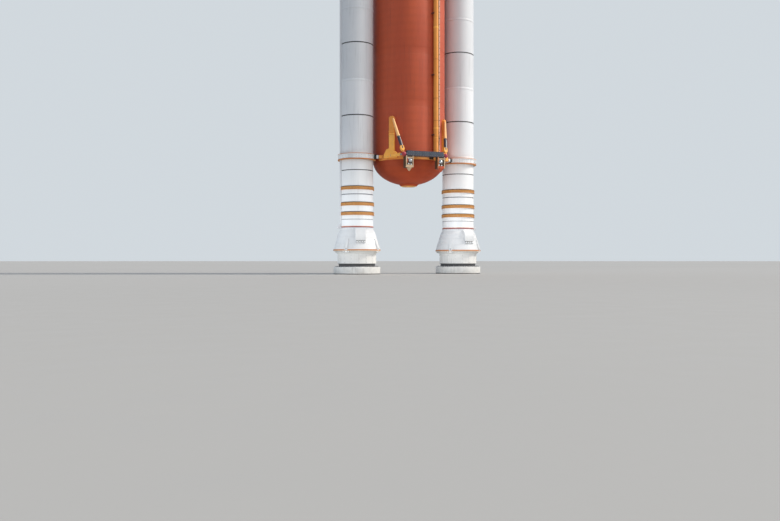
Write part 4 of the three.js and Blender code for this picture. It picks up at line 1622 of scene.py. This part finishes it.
@dataclass
class Intertank(Assembly):
    """Ribbed ring between the two tanks, with its doors and vents."""

    proud: float = 0.026
    low: float = 17.15
    high: float = 20.585
    ribs: int = 72

    def build(self) -> None:
        """Makes the ring."""
        self.piece("intertank_ribs", "tank_foam", "intertank", self.wall, self.doors)

    def rib_r(self, angle: float) -> float:
        """The ribbed wall's radius at an angle."""
        wave = 0.5 + 0.5 * cos(angle * self.ribs)
        return TANK_R + self.proud * min(1.0, max(0.0, (wave - 0.3) / 0.4))

    def wall(self) -> None:
        """Builds the wall from rows, ribbed between two plain flanges."""
        sides = self.ribs * 12
        rings = [(0.0, 0.6), (0.09, 0.6), (0.1, 0.0), (0.13, 0.0), (0.2, None)]
        rows = [(self.low + up, share) for up, share in rings]
        rows += [(self.high - down, share) for down, share in rings[::-1]]
        turns = [2 * pi * i / sides for i in range(sides)]
        skin = []
        for z, share in rows:
            radii = [self.rib_r(a) if share is None else TANK_R + self.proud * share for a in turns]
            skin.append([(r * cos(a), r * sin(a), z) for r, a in zip(radii, turns)])
        self.rings(skin, FOAM_RIB)

    def doors(self) -> None:
        """Frames the access doors and the round vents."""
        out = TANK_R + self.proud
        for angle, z, width, tall in ((-38, 18.3, 0.62, 0.78), (152, 18.9, 0.4, 0.4)):
            for loop, depth, coat, bevel in (
                (rounded(width, tall, 0.07), 0.014, FOAM, 0.008),
                (rounded(width * 0.8, tall * 0.82, 0.06), 0.012, FOAM_DARK, 0.006),
            ):
                self.prism(loop, 0.05, facing(angle) @ move(out - depth, 0, z) @ FRONT, coat, bevel)
        vent, laid = Form(), Form()
        vent.lathe([(0.02, -0.03), (0.07, -0.03), (0.08, -0.018), (0.08, 0.0), (0.05, -0.002),
                    (0.045, -0.02), (0.02, -0.02)], TRAY_SHADED, sides=24)
        laid.copies(vent, [lying(out, 0, 19.6)])
        self.copies(laid, [facing(angle) for angle in (-58, 60, 128)])


@dataclass
class OxygenTank(Assembly):
    """Upper tank: a short barrel and a long ogive."""

    low: float = 20.585
    ogive: float = 21.955
    arc_r: float = 7.77
    cap_z: float = 26.705

    def ogive_r(self, z: float) -> float:
        """The radius at a height."""
        rise = max(0.0, z - self.ogive)
        return sqrt(self.arc_r ** 2 - rise ** 2) - self.arc_r + TANK_R

    def build(self) -> None:
        """Makes the tank."""
        self.piece("oxygen_tank_foam", "tank_foam", "oxygen_tank", self.body)

    def body(self) -> None:
        """Turns the barrel and the ogive in one skin."""
        steps, tall = 36, self.cap_z - self.ogive
        heights = [self.ogive + tall * i / steps for i in range(steps + 1)]
        outline = Outline((0.02, self.low), (TANK_R, self.low, FOAM))
        outline.draw(*((self.ogive_r(z), z) for z in heights), (0.02, self.cap_z))
        outline.turn(self, sides=192, soften=0.004, wrap=False)


@dataclass
class TankNose(Assembly):
    """Cone cap with its two vents and the thin spike."""

    cap_r: float = 0.479
    low: float = 26.705
    shoulder: float = 27.06
    tip: float = 27.32

    def build(self) -> None:
        """Makes the nose."""
        self.piece("tank_nose_cap", "tank_foam", "tank_nose", self.cap, self.hoods)

    def cap(self) -> None:
        """Turns the cap and its spike."""
        low, r = self.low, self.cap_r
        Outline(
            (0.02, low), (r - 0.004, low, FOAM_DARK), (r - 0.004, low + 0.004, TAN),
            (r - 0.04, low + 0.03), (0.4, low + 0.068, FOAM_DARK), (0.33, low + 0.142),
            (0.24, low + 0.232), (0.16, low + 0.312), (0.12, self.shoulder),
            (0.06, self.shoulder + 0.006, STEEL), (0.045, 27.08), (0.043, 27.16),
            (0.04, 27.25), (0.028, 27.285), (0.012, self.tip)).turn(self, sides=64, wrap=False)

    def hoods(self) -> None:
        """Hangs the louvred vent hoods on two sides."""
        hood, lean = Form(), atan2(self.cap_r - 0.12, self.shoulder - self.low)
        place = move(0.335, 0, self.low + 0.125) @ turned(degrees(-lean), "Y")
        hood.block((0.02, 0.1, 0.14), place, FOAM_DARK, 0.006)
        for up in (-0.04, 0.0, 0.04):
            hood.block((0.024, 0.07, 0.012), place @ move(0, 0, up), CHAR, 0.002)
        self.copies(hood, [turned(20), turned(200)])


@dataclass
class RingFrame(Assembly):
    """Band round the tank's lower joint on the side where the payload's fittings meet it."""

    out: float = TANK_R + 0.032
    low: float = 5.095
    high: float = 5.325
    back_y: float = -0.57
    steps: int = 120
    heads: int = 48

    def build(self) -> None:
        """Makes the band."""
        self.piece("ring_frame_band", "strut_yellow", "ring_frame", self.band)

    def band(self) -> None:
        """Bends the band's section round the tank between its two ends, bolts it, and lays a
        painted shadow on it beside the feedline.
        """
        out, low, high, seat = self.out, self.low, self.high, TANK_R - 0.02
        end = degrees(acos(-self.back_y / out))
        section = [(seat, low), (out - 0.008, low), (out, low + 0.008), (out, low + 0.05),
                   (out - 0.008, low + 0.06), (out - 0.008, high - 0.06), (out, high - 0.05),
                   (out, high - 0.008), (out - 0.008, high), (seat, high)]
        self.rings([[around(-end + 2 * end * i / self.steps, r, z) for r, z in section]
                    for i in range(self.steps + 1)], YELLOW)
        # A dark brown block on the band beside the feedline's foot: a painted shadow.
        self.block((0.05, 0.3, high - low - 0.02),
                   facing(15.5) @ move(out - 0.012, 0, (low + high) / 2), PAINTED_SHADE, 0.01)
        turns = [facing(-end + 4 + (2 * end - 8) * i / (self.heads - 1)) for i in range(self.heads)]
        for z in (low + 0.095, high - 0.095):
            self.bolts(0.01, 0.006, lying(out - 0.009, 0, z), turns)


@dataclass
class Sided(Assembly):
    """A sub-assembly of the tank that is mirrored from side to side."""

    def flip(self, x: float) -> float:
        """A distance on X, or an angle, that is given for the right side."""
        return self.side.value * x

    def joint(self) -> Vector:
        """The middle of this side's ball."""
        x, y, z = BALL_PLACE
        return Vector((self.flip(x), y, z))


@dataclass
class PayloadTruss(Sided):
    """One side's longeron on the tank's wall, with its diagonal and side strut to the ball."""

    angle: float = 47.5
    half: float = 0.16
    face: float = TANK_R + 0.15
    low: float = 5.18
    top: float = 7.52
    grip: float = 7.35
    grip_across: float = -0.13
    joint_z: float = 6.57

    def build(self) -> None:
        """Makes the longeron, the diagonal and the side strut."""
        for name, node, drawn in (
            ("longeron_beam", "longeron", self.longeron),
            ("diagonal_strut", "diagonal", self.diagonal),
            ("side_strut_tube", "side_strut", self.side_strut),
        ):
            self.piece(name, "strut_yellow", node, drawn)

    def plate(self, loop: Loop, out: float, deep: float, finish: Finish, bevel: float) -> None:
        """Lays a plate on the wall, its face so far out from the longeron's."""
        place = facing(self.flip(self.angle)) @ move(self.face + out - deep / 2, 0, 0) @ FRONT
        self.prism([(self.flip(x), z) for x, z in loop], deep, place, finish, bevel)

    def longeron(self) -> None:
        """Builds the foam-coated upright with its gusset, joint collar and capped top."""
        low, top, half, joint = self.low, self.top, self.half, self.joint_z
        body = [(half, low + 0.42), (half, joint), (-half, joint), (-half, low + 0.42)]
        self.plate(body, 0, 0.22, GOLD, 0.03)
        upper = [(half, joint), (half, top - 0.1), (half - 0.07, top), (0.07 - half, top),
                 (-half, top - 0.1), (-half, joint)]
        self.plate(upper, 0, 0.22, YELLOW, 0.035)
        gusset = [(-0.3, low), (0.49, low), (0.49, low + 0.19), (0.32, low + 0.48),
                  (half, low + 0.54), (-half, low + 0.4), (-0.3, low + 0.3)]
        self.plate(gusset, -0.004, 0.22, GOLD, 0.022)
        wide, pad, grip = half + 0.006, self.grip_across - 0.03, self.grip
        for z in (joint - 0.09, joint + 0.09):
            collar = [(-wide, z - 0.025), (wide, z - 0.025), (wide, z + 0.025), (-wide, z + 0.025)]
            self.plate(collar, 0.007, 0.2, YELLOW, 0.012)
        self.plate([(pad, grip - 0.2), (half - 0.02, grip - 0.2), (half - 0.02, grip + 0.1),
                    (pad, grip + 0.1)], 0.005, 0.06, YELLOW, 0.02)
        place = facing(self.flip(self.angle))
        for across in (-0.22, 0.2, 0.4):
            spot = lying(self.face - 0.006, self.flip(across), low + 0.08)
            self.bolts(0.016, 0.006, place @ spot)
        for up, across in product((0.72, 0.95, 1.2), (-0.11, 0.11)):
            self.bolts(0.012, 0.008, place @ lying(self.face - 0.008, across, low + up))

    def diagonal(self) -> None:
        """Builds the strut that is slim above and thick below, with the lug over the ball."""
        start = facing(self.flip(self.angle)) @ Vector((
            self.face + 0.02, self.flip(self.grip_across), self.grip))
        end = self.joint()
        along, middle = (end - start).normalized(), (start + end) / 2
        neck = end - along * 0.36
        self.bar(start, middle, 0.092, PEACH, (
            (0, 0.67), (0.06, 0.67), (0.07, 0.8), (0.1, 0.8), (0.11, 0.7), (0.9, 0.97), (0.95, 1.0),
            (1, 1.0)))
        self.bar(middle, neck, 0.09, NAVY, (
            (0, 0.9), (0.02, 1.0), (0.1, 1.0), (0.11, 0.94), (0.86, 0.94), (0.88, 1.0), (0.98, 1.0),
            (1, 0.9)))
        # A pale strip painted on as the sun's highlight down the lower half's right side.
        self.painted_highlight(middle, neck)
        self.bar(neck, end - along * 0.06, 0.06, YELLOW, ((0, 1), (0.7, 1), (1, 1.3)))
        self.lug(neck, along)

    def painted_highlight(self, start: Vector, end: Vector) -> None:
        """Lays a pale strip along the lower half's right side, a painted highlight of the sun on
        the dark strut.

        Args:
            start: the lower half's top.
            end: its foot.
        """
        turn, length = aimed(start, end), (end - start).length
        away = turn.to_3x3().inverted() @ Vector((0.82, -0.55, 0.2))
        middle = degrees(atan2(away.y, away.x))
        loop = arc((0, 0), 0.09, middle - 27, middle + 27, 8)
        self.prism([*loop, *((0.9 * x, 0.9 * y) for x, y in loop[::-1])], length * 0.7,
                   turn @ move(0, 0, length * 0.48), WHITE, 0.001)

    def lug(self, at: Vector, along: Vector) -> None:
        """Cuts the round-ended lug and puts its dark pin through it.

        Args:
            at: the lug's middle.
            along: the strut's direction.
        """
        across = Vector((0, -1, 0)).cross(along).normalized()
        place = Matrix((across, along, across.cross(along))).transposed().to_4x4()
        place.translation = at
        loop = arc((0, 0.06), 0.112, 0, 180, 14) + arc((0, -0.06), 0.112, 180, 360, 14)
        self.prism(loop, 0.16, place, GOLD, 0.02)
        for radius, reach, finish in ((0.046, 0.0815, STEEL), (0.032, 0.085, BLACK)):
            disc = Form()
            disc.bar((0, 0, -reach), (0, 0, reach), radius, finish,
                     ((0, 0.85), (0.03, 1), (0.97, 1), (1, 0.85)), sides=24)
            self.copies(disc, [place])

    def side_strut(self) -> None:
        """Builds the level strut from the longeron's foot to the ball."""
        start, end = around(self.flip(self.angle), self.face, BALL_PLACE[2]), self.joint()
        along = (end - start).normalized()
        neck = end - along * 0.25
        self.bar(start + along * 0.004, neck, 0.095, GOLD, (
            (0, 1), (0.16, 1), (0.18, 0.88), (0.8, 0.88), (0.84, 1.0), (0.95, 1.0), (1, 0.75)))
        self.bar(neck, end - along * 0.06, 0.06, STEEL, ((0, 1), (0.7, 1), (1, 1.2)))
        self.bar(start + along * 0.02, start + along * 0.05, 0.0955, STEEL,
                 ((0, 0.97), (0.2, 1), (0.8, 1), (1, 0.97)))


@dataclass
class Crossbeam(Assembly):
    """Box beam between the two balls, with its cover plates and end fittings."""

    half: float = 1.11
    depth: float = 0.22
    low: float = 5.2
    high: float = 5.49

    def build(self) -> None:
        """Makes the beam."""
        self.piece("crossbeam_box", "beam_slate", "crossbeam", self.beam, self.ends)

    def beam(self) -> None:
        """Builds the beam with its screwed plates, and the strips along its edges, the lower one
        dark as painted shade under the beam.
        """
        y, middle, tall = BALL_PLACE[1], (self.low + self.high) / 2, self.high - self.low
        front = y - self.depth / 2
        self.block((2 * self.half, self.depth - 0.012, tall), move(0, y, middle), SLATE, 0.012)
        for x in (-0.86, -0.43, 0.0, 0.43, 0.86):
            self.block((0.36, 0.012, tall * 0.7), move(x, front + 0.006, middle), SLATE)
            for dx, dz in product((-0.14, 0.0, 0.14), (-0.08, 0.08)):
                self.bolts(0.009, 0.005, move(x + dx, front + 0.001, middle + dz) @ turned(90, "X"))
        # The lower strip is dark navy as painted shade under the beam.
        for z, thick, finish in ((self.low + 0.03, 0.05, NAVY), (self.high - 0.02, 0.03, SLATE)):
            size = (2 * self.half - 0.02, self.depth + 0.004, thick)
            self.block(size, move(0, y, z), finish, 0.005)

    def ends(self) -> None:
        """Sets a ball with its neck and collar on each end."""
        x, y, z = BALL_PLACE
        for side in (-1, 1):
            self.bar((side * (self.half - 0.05), y, z), (side * x, y, z), 0.085, SLATE,
                     ((0, 1), (0.5, 1), (0.55, 0.9), (1, 0.9)))
            self.ball((side * x, y, z), BALL_R, MAROON, sides=40)
            self.bar((side * (self.half - 0.008), y, z), (side * (self.half + 0.012), y, z), 0.1,
                     STEEL, ((0, 1), (0.8, 1), (1, 0.94)))


@dataclass
class Umbilical(Sided):
    """One side's deep plate box with its framed face, round coupling and tapering spout."""

    x: float = 0.95
    y: float = -2.34
    width: float = 0.44
    depth: float = 0.45
    low: float = 4.56
    high: float = 5.1997
    recess: float = 0.03
    port: Pair = (0.035, 4.94)
    spout: tuple[float, float, float] = (0.28, 0.22, 4.37)

    def build(self) -> None:
        """Makes the box."""
        self.piece("umbilical_box", "umbilical_plate", "umbilical", self.box, self.frame,
                   self.ports, self.taper, *([self.stub] if self.side is Side.LEFT else []))

    def sizes(self) -> tuple[float, float, float, float]:
        """The box's middle on X, its face on Y, its middle height and how tall it is."""
        return (self.flip(self.x), self.y - self.depth / 2, (self.low + self.high) / 2,
                self.high - self.low)

    def lower_coat(self) -> Finish:
        """The finish below the face's bay, bare cream on the left and foamed over on the right."""
        return CREAM if self.side is Side.LEFT else FOAM

    def box(self) -> None:
        """Builds the body, painted dark brown as the shade on its sides and in its open bay, with
        straps and a panel on each side.
        """
        x, _, middle, tall = self.sizes()
        self.block((self.width - 0.012, self.depth - self.recess, tall),
                   move(x, self.y + self.recess / 2, middle), PAINTED_SHADE, 0.012)
        for end in (-1, 1):
            face = x + end * (self.width / 2 - 0.003)
            for z in (-0.24, -0.06, 0.12, 0.27):
                self.block((0.006, self.depth - 0.05, 0.03), move(face, self.y, middle + z),
                           BROWN, 0.002)
            self.block((0.01, 0.14, 0.2), move(face, self.y + 0.04, middle + 0.03), PAINTED_SHADE, 0.002)
        self.block((self.width - 0.006, 0.03, tall - 0.02),
                   move(x, self.y + self.depth / 2 - 0.06, middle), BROWN)

    def frame(self) -> None:
        """Frames the face with cream rails round a bay painted dark as shade, the top rail set low
        under a painted shadow of the crossbeam, with an apron below.
        """
        x, front, middle, tall = self.sizes()
        deep, wide, lower = self.recess + 0.01, self.width - 0.115, self.lower_coat()
        outer = CREAM if self.side is Side.LEFT else RIM
        rail_y = deep / 2
        for size, dx, y, z, finish, bevel in (
            ((0.06, deep, tall), -self.width / 2 + 0.03, rail_y, middle, outer, 0.006),
            ((0.05, deep, tall), self.width / 2 - 0.025, rail_y, middle, CREAM, 0.006),
            ((wide, deep, 0.05), 0.0, rail_y, self.high - 0.1, CREAM, 0.006),
            ((wide, deep, 0.14), 0.004, rail_y, self.low + 0.07, lower, 0.006),
            ((0.05, 0.02, 0.3), -0.12, 0.022, middle + 0.08, FOAM, 0.006),
            ((0.1, 0.02, 0.09), -0.06, 0.018, self.high - 0.12, SKIRT, 0.006),
            ((0.13, 0.1, 0.08), -0.155, 0.046, self.low + 0.042, lower, 0.012),
        ):
            self.block(size, move(x + dx, front + y, z), finish, bevel)
        for end, i in product((-1, 1), range(7)):
            spot = move(x + end * (self.width / 2 - 0.027), front, middle + tall * (i - 3) * 0.145)
            self.bolts(0.008, 0.004, spot @ turned(90, "X"))

    def ports(self) -> None:
        """Fits the large coupling ball in its collar and two small sockets."""
        x, front, _, _ = self.sizes()
        centre = Vector((x - self.flip(self.port[0]), front, self.port[1]))
        self.bar(centre + Vector((0, 0.04, 0)), centre - Vector((0, 0.02, 0)), 0.118, STEEL,
                 ((0, 1), (0.7, 1), (0.9, 0.94), (1, 0.84)), sides=40)
        self.ball(centre, 0.094, SILVER, sides=36)
        for dx, dz in ((-0.1, -0.19), (0.05, -0.21)):
            spot = centre + Vector((dx, 0.012, dz))
            self.bar(spot + Vector((0, 0.02, 0)), spot - Vector((0, 0.01, 0)), 0.04, SILVER,
                     ((0, 1), (0.7, 1), (0.72, 0.8), (1, 0.72)), sides=24)

    def taper(self) -> None:
        """Draws the spout in under the box's face, down to its rounded tip."""
        (wide, deep, tip), (x, front, _, _) = self.spout, self.sizes()
        rows = []
        for share, size in ((0, 0.98), (0.12, 0.94), (0.4, 0.74), (0.7, 0.5), (0.93, 0.28),
                            (1, 0.2)):
            z = self.low + 0.004 + (tip - self.low) * share
            loop = rounded(wide * size, deep * size, 0.3 * size * deep, 3)
            rows.append([(x + px, front + deep / 2 + py, z) for px, py in loop])
        self.rings(rows[::-1], self.lower_coat())

    def stub(self) -> None:
        """Runs the second line's coated end from the left box in under the tank."""
        x = self.flip(self.x)
        self.bar((x, self.y, 4.8), (x * 0.7, self.y * 0.7, 4.95), 0.09, YELLOW,
                 ((0, 1), (0.3, 1), (0.31, 1.08), (0.36, 1.08), (0.37, 1), (1, 1)))


@dataclass
class Feedline(Assembly):
    """Thick foam-covered pipe up the tank's wall, with bellows, collars and brackets."""

    r: float = 0.145
    out: float = TANK_R + 0.18
    bottom: float = 5.15
    top: float = 17.25
    brackets: tuple[float, ...] = (6.5, 9.875, 13.35, 16.75)
    bellows: tuple[float, ...] = (1.05, 11.0)
    collars: tuple[float, ...] = (1.72, 7.4)
    joints: tuple[float, ...] = (2.15, 3.4, 5.6, 9.0)

    def build(self) -> None:
        """Makes the pipe."""
        self.piece("feedline_pipe", "strut_yellow", "feedline", self.pipe, self.bends, self.yokes)

    def pipe(self) -> None:
        """Draws the pipe with its bellows, collars and joints, each a row of steps along it."""
        length = self.top - self.bottom
        ripples = [(-0.13 + i * 0.03, 1.0 if i % 2 else 0.93, YELLOW) for i in range(9)]
        kinds = (
            (self.bellows, [(-0.14, 0.955, YELLOW), *ripples, (0.14, 0.955, GOLD)]),
            (self.collars, [(-0.045, 0.955, YELLOW), (-0.04, 1.0, GOLD), (0.04, 1.0, GOLD),
                            (0.045, 0.955, GOLD)]),
            (self.joints, [(-0.01, 0.955, YELLOW), (-0.006, 0.93, FOAM_DARK),
                           (0.006, 0.93, FOAM_DARK), (0.01, 0.955, FOAM_DARK)]),
        )
        steps = [(at + along, share, finish) for places, rows in kinds for at in places
                 for along, share, finish in rows]
        steps = [*sorted(steps, key=lambda step: step[0]), (length, 0.955, YELLOW)]
        shape = [(0.0, 1.0), *((along / length, share) for along, share, _ in steps)]
        ends = [around(FEED_ANGLE, self.out, z) for z in (self.bottom, self.top)]
        self.bar(*ends, self.r, [finish for _, _, finish in steps], shape, sides=48)

    def bends(self) -> None:
        """Turns the pipe into the intertank above and to the umbilical box below."""
        top = [around(FEED_ANGLE, self.out - inward, self.top + up)
               for inward, up in ((0, -0.04), (0.06, 0.14), (0.3, 0.26))]
        self.tube(bent(*top, 10), self.r * 0.97, YELLOW)
        low = [around(FEED_ANGLE, self.out, self.bottom + up) for up in (0.12, -0.1)]
        self.tube(bent(*low, Vector((0.95, -2.34, 4.82)), 12), self.r * 0.8, YELLOW)

    def yokes(self) -> None:
        """Sets the dark yokes that hold the pipe, each with its strap and foam foot."""
        place, width = facing(FEED_ANGLE), 2 * self.r + 0.1
        strap = [(self.r * cos(radians(a)), self.r * sin(radians(a))) for a in range(-92, 93, 8)]
        loop = [*strap, *((x * 0.93, y * 0.93) for x, y in strap[::-1])]
        for z in self.brackets:
            for end in (-1, 1):
                self.block((self.out - TANK_R + 0.07, 0.045, 0.085), place @ move(
                    (self.out + TANK_R) / 2, end * (width / 2 - 0.022), z), BROWN, 0.008)
            self.block((0.05, width, 0.09), place @ move(TANK_R + 0.02, 0, z), FOAM_DARK, 0.015)
            self.prism(loop, 0.07, place @ move(self.out, 0, z), YELLOW, 0.002)


@dataclass
class CableTray(Assembly):
    """Cable tray up the wall and over the ogive, in short covers on raised feet."""

    width: float = 0.11
    proud: float = 0.06
    bottom: float = 5.34
    top: float = 26.2
    covers: int = 61
    clips: int = 9

    def build(self) -> None:
        """Makes the tray."""
        self.piece("cable_tray_covers", "tray_grey", "cable_tray", self.lengths, self.feet)

    def lengths(self) -> None:
        """Lays the covers end to end along the wall's own line: each length dark as painted shade
        on its side, its cover pale as painted sunlight, and the joins between lengths dark brown as
        painted shade.
        """
        half, out, pitch = self.width / 2, self.proud, (self.top - self.bottom) / self.covers
        section = [(-0.02, -half), (out - 0.012, -half), (out, 0.012 - half), (out, half - 0.012),
                   (out - 0.012, half), (-0.02, half)]
        cover = [(out - 0.01, 0.01 - half), (out + 0.003, 0.014 - half),
                 (out + 0.003, half + 0.001), (out - 0.04, half + 0.004)]
        narrow = [(x * 0.9, y * 0.7) for x, y in section]
        for i in range(self.covers):
            low = self.bottom + i * pitch
            high = low + pitch - 0.012
            # Dark lengths as painted shade, pale covers as painted sunlight, dark joins as painted
            # shade.
            self.length(section, low, high, TRAY_SHADED)
            self.length(cover, low + 0.01, high - 0.01, TRAY_SUNLIT_COVER)
            if low < HydrogenTank.top:
                self.length(narrow, high - 0.004, low + pitch + 0.004, PAINTED_SHADE)

    def length(self, section: Loop, low: float, high: float, finish: Finish) -> None:
        """Runs a section along the wall between two heights.

        Args:
            section: the section's (out, across) points.
            low: the lower height.
            high: the upper height.
            finish: its finish.
        """
        wall, turn = OxygenTank(self.at), facing(TRAY_ANGLE)
        self.rings([[turn @ Vector((wall.ogive_r(z) + x, y, z)) for x, y in section]
                    for z in (low, high)], finish)

    def feet(self) -> None:
        """Holds the tray down with feet and straps along the two barrels."""
        step, turn = (OxygenTank.ogive - self.bottom) / self.clips, facing(TRAY_ANGLE)
        for i in range(self.clips):
            z = self.bottom + step * (i + 0.5)
            self.block((0.08, self.width + 0.07, 0.08), turn @ move(TANK_R + 0.012, 0, z),
                       FOAM_DARK, 0.01)
            self.block((0.012, self.width + 0.03, 0.05),
                       turn @ move(TANK_R + self.proud - 0.004, 0, z), STEEL, 0.003)


@dataclass
class PressureLine(Assembly):
    """Thin line beside the tray, in clips that stand it off the wall."""

    r: float = 0.026
    out: float = TANK_R + 0.06
    low: float = 5.4
    high: float = 20.585
    unions: int = 7
    clips: int = 13

    def build(self) -> None:
        """Makes the line."""
        self.piece("pressure_line_pipe", "strut_yellow", "pressure_line", self.line, self.stands)

    def line(self) -> None:
        """Draws the line with its unions."""
        length, shape, finishes = self.high - self.low, [(0.0, 0.85)], []
        for i in range(1, self.unions + 1):
            middle = length * i / (self.unions + 1)
            shape += [((middle + along) / length, share) for along, share in (
                (-0.05, 0.85), (-0.045, 1.0), (0.045, 1.0), (0.05, 0.85))]
            finishes += [YELLOW, STEEL, STEEL, STEEL]
        ends = [around(PRESSURE_ANGLE, self.out, z) for z in (self.low, self.high)]
        self.bar(*ends, self.r, [*finishes, YELLOW], [*shape, (1.0, 0.85)], sides=20)

    def stands(self) -> None:
        """Stands the line off the wall on foam feet with steel clips."""
        pitch, turn = (self.high - self.low) / self.clips, facing(PRESSURE_ANGLE)
        for i in range(self.clips):
            z = self.low + pitch * (i + 0.5)
            self.block((0.05, 0.1, 0.05), turn @ move(TANK_R + 0.012, 0, z), FOAM_DARK, 0.008)
            self.block((0.05, 0.062, 0.03), turn @ move(self.out - 0.006, 0, z), STEEL, 0.006)


@dataclass
class Bipod(Assembly):
    """Two legs from the wall to the payload's forward yoke."""

    z: float = 17.065
    foot: float = 16.7
    angle: float = 11.8
    reach: float = 2.6
    leg: float = 0.06
    yoke: tuple[float, float, float] = (0.2, 0.16, 0.22)

    def build(self) -> None:
        """Makes the bipod."""
        self.piece("bipod_legs", "tank_foam", "bipod", self.legs, self.head)

    def legs(self) -> None:
        """Builds the legs with their foot pads."""
        for end in (-1, 1):
            start, pad = around(end * self.angle, TANK_R - 0.06, self.foot), Form()
            self.bar(start, (0, -self.reach, self.z), self.leg, FOAM, (
                (0, 1), (0.14, 1), (0.17, 0.8), (0.8, 0.8), (0.84, 1.0), (0.9, 1.0), (1, 0.8)))
            pad.lathe([(0.01, -0.03), (0.15, -0.03), (0.12, 0.0), (0.075, 0.03), (0.01, 0.03)],
                      FOAM_DARK, sides=36)
            self.copies(pad, [
                facing(end * self.angle) @ lying(TANK_R + 0.012, 0, self.foot + 0.02)])

    def head(self) -> None:
        """Builds the yoke with its face plate and pin ends."""
        (wide, deep, tall), y, z = self.yoke, -self.reach, self.z
        self.block(self.yoke, move(0, y, z), SLATE, 0.02)
        self.block((wide * 0.8, 0.012, tall * 0.8), move(0, y - deep / 2 + 0.001, z), SLATE)
        for end in (-1, 1):
            self.bar((end * wide * 0.36, y, z), (end * wide / 2, y, z), 0.05, STEEL,
                     ((0, 1), (0.8, 1), (1, 0.85)))


@dataclass
class BoosterStrut(Sided):
    """Strut from a booster's ring to the tank: a black boot, a white tube and a golden end."""

    front: int = -1
    ring_y: float = 0.7
    tank_y: float = 0.855

    def build(self) -> None:
        """Makes the strut."""
        name = "front" if self.front < 0 else "rear"
        self.piece(f"{name}_booster_strut", "strut_white", f"{name}_strut", self.strut)

    def strut(self) -> None:
        """Builds the strut with its boot, clamp and end fitting."""
        ring_x = BOOSTER_X - sqrt(AttachRing.flange_r ** 2 - self.ring_y ** 2)
        tank_x, z = sqrt(TANK_R ** 2 - self.tank_y ** 2), BALL_PLACE[2]
        start = Vector((self.flip(ring_x + 0.02), self.front * self.ring_y, z))
        end = Vector((self.flip(tank_x), self.front * self.tank_y, z))
        long = (end - start).length
        cup = 0.11 / long
        self.bar(start, end, 0.14, [BLACK] * 5 + [SILVER] * 2, (
            (0, 0.9), (cup * 0.1, 1.0), (cup * 0.5, 1.0), (cup * 0.6, 0.93), (cup * 0.75, 0.97),
            (cup, 0.9), (cup, 0.74), (cup * 1.15, 0.74)), sides=40)
        self.bar(start, end, 0.105, [WHITE] * 4 + [STEEL] * 2 + [YELLOW] * 3, (
            (0, 0.9), (cup * 1.1, 0.95), (cup * 1.2, 1.0), (0.44, 1.0), (0.46, 0.9), (0.48, 1.0),
            (0.52, 1.0), (0.54, 0.92), (0.8, 0.92), (1, 1.0)), sides=40)
        for turn in every(8):
            self.bolts(0.008, 0.004, aimed(start, end) @ turn @ lying(0.1, 0, long * 0.5))


@dataclass
class ThrustFitting(Sided):
    """Short cone where a booster pushes on the intertank, with its ring of bolts."""

    z: float = 18.895
    tank_face: float = 2.1263
    booster_face: float = 2.2537

    def build(self) -> None:
        """Makes the fitting."""
        self.piece("thrust_cone", "strut_white", "thrust_fitting", self.cone)

    def cone(self) -> None:
        """Turns the cone between the two walls."""
        a, b = (Vector((self.flip(x), 0, self.z)) for x in (self.tank_face, self.booster_face))
        self.bar(a, b, 0.18, [WHITE, WHITE, STEEL, STEEL, WHITE],
                 ((0, 1), (0.2, 1), (0.45, 0.86), (0.55, 0.86), (0.7, 0.78), (1, 0.722)), sides=48)
        for turn in every(12):
            self.bolts(0.008, 0.008, aimed(a, b) @ turn @ move(0.168, 0, 0.02))


def main() -> None:
    """Builds the studio and every sub-assembly, and logs each piece's faces."""
    logging.basicConfig(level=logging.INFO, format="%(name)s: %(message)s")
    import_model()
    Studio().build()
    for side in Side:
        for make in (Plinth, AftSkirt, AftDome, Nozzle, MotorCase, AttachRing, BoosterTop,
                     SystemsTunnel):
            make(booster_place(side), side).build()
    for make in (HydrogenTank, Intertank, OxygenTank, TankNose, RingFrame, Crossbeam, Feedline,
                 CableTray, PressureLine, Bipod):
        make(tank_place()).build()
    for side in Side:
        for make in (PayloadTruss, Umbilical, ThrustFitting):
            make(tank_place(), side).build()
        for front in (-1, 1):
            BoosterStrut(tank_place(), side, front).build()


if __name__ == "__main__":
    main()
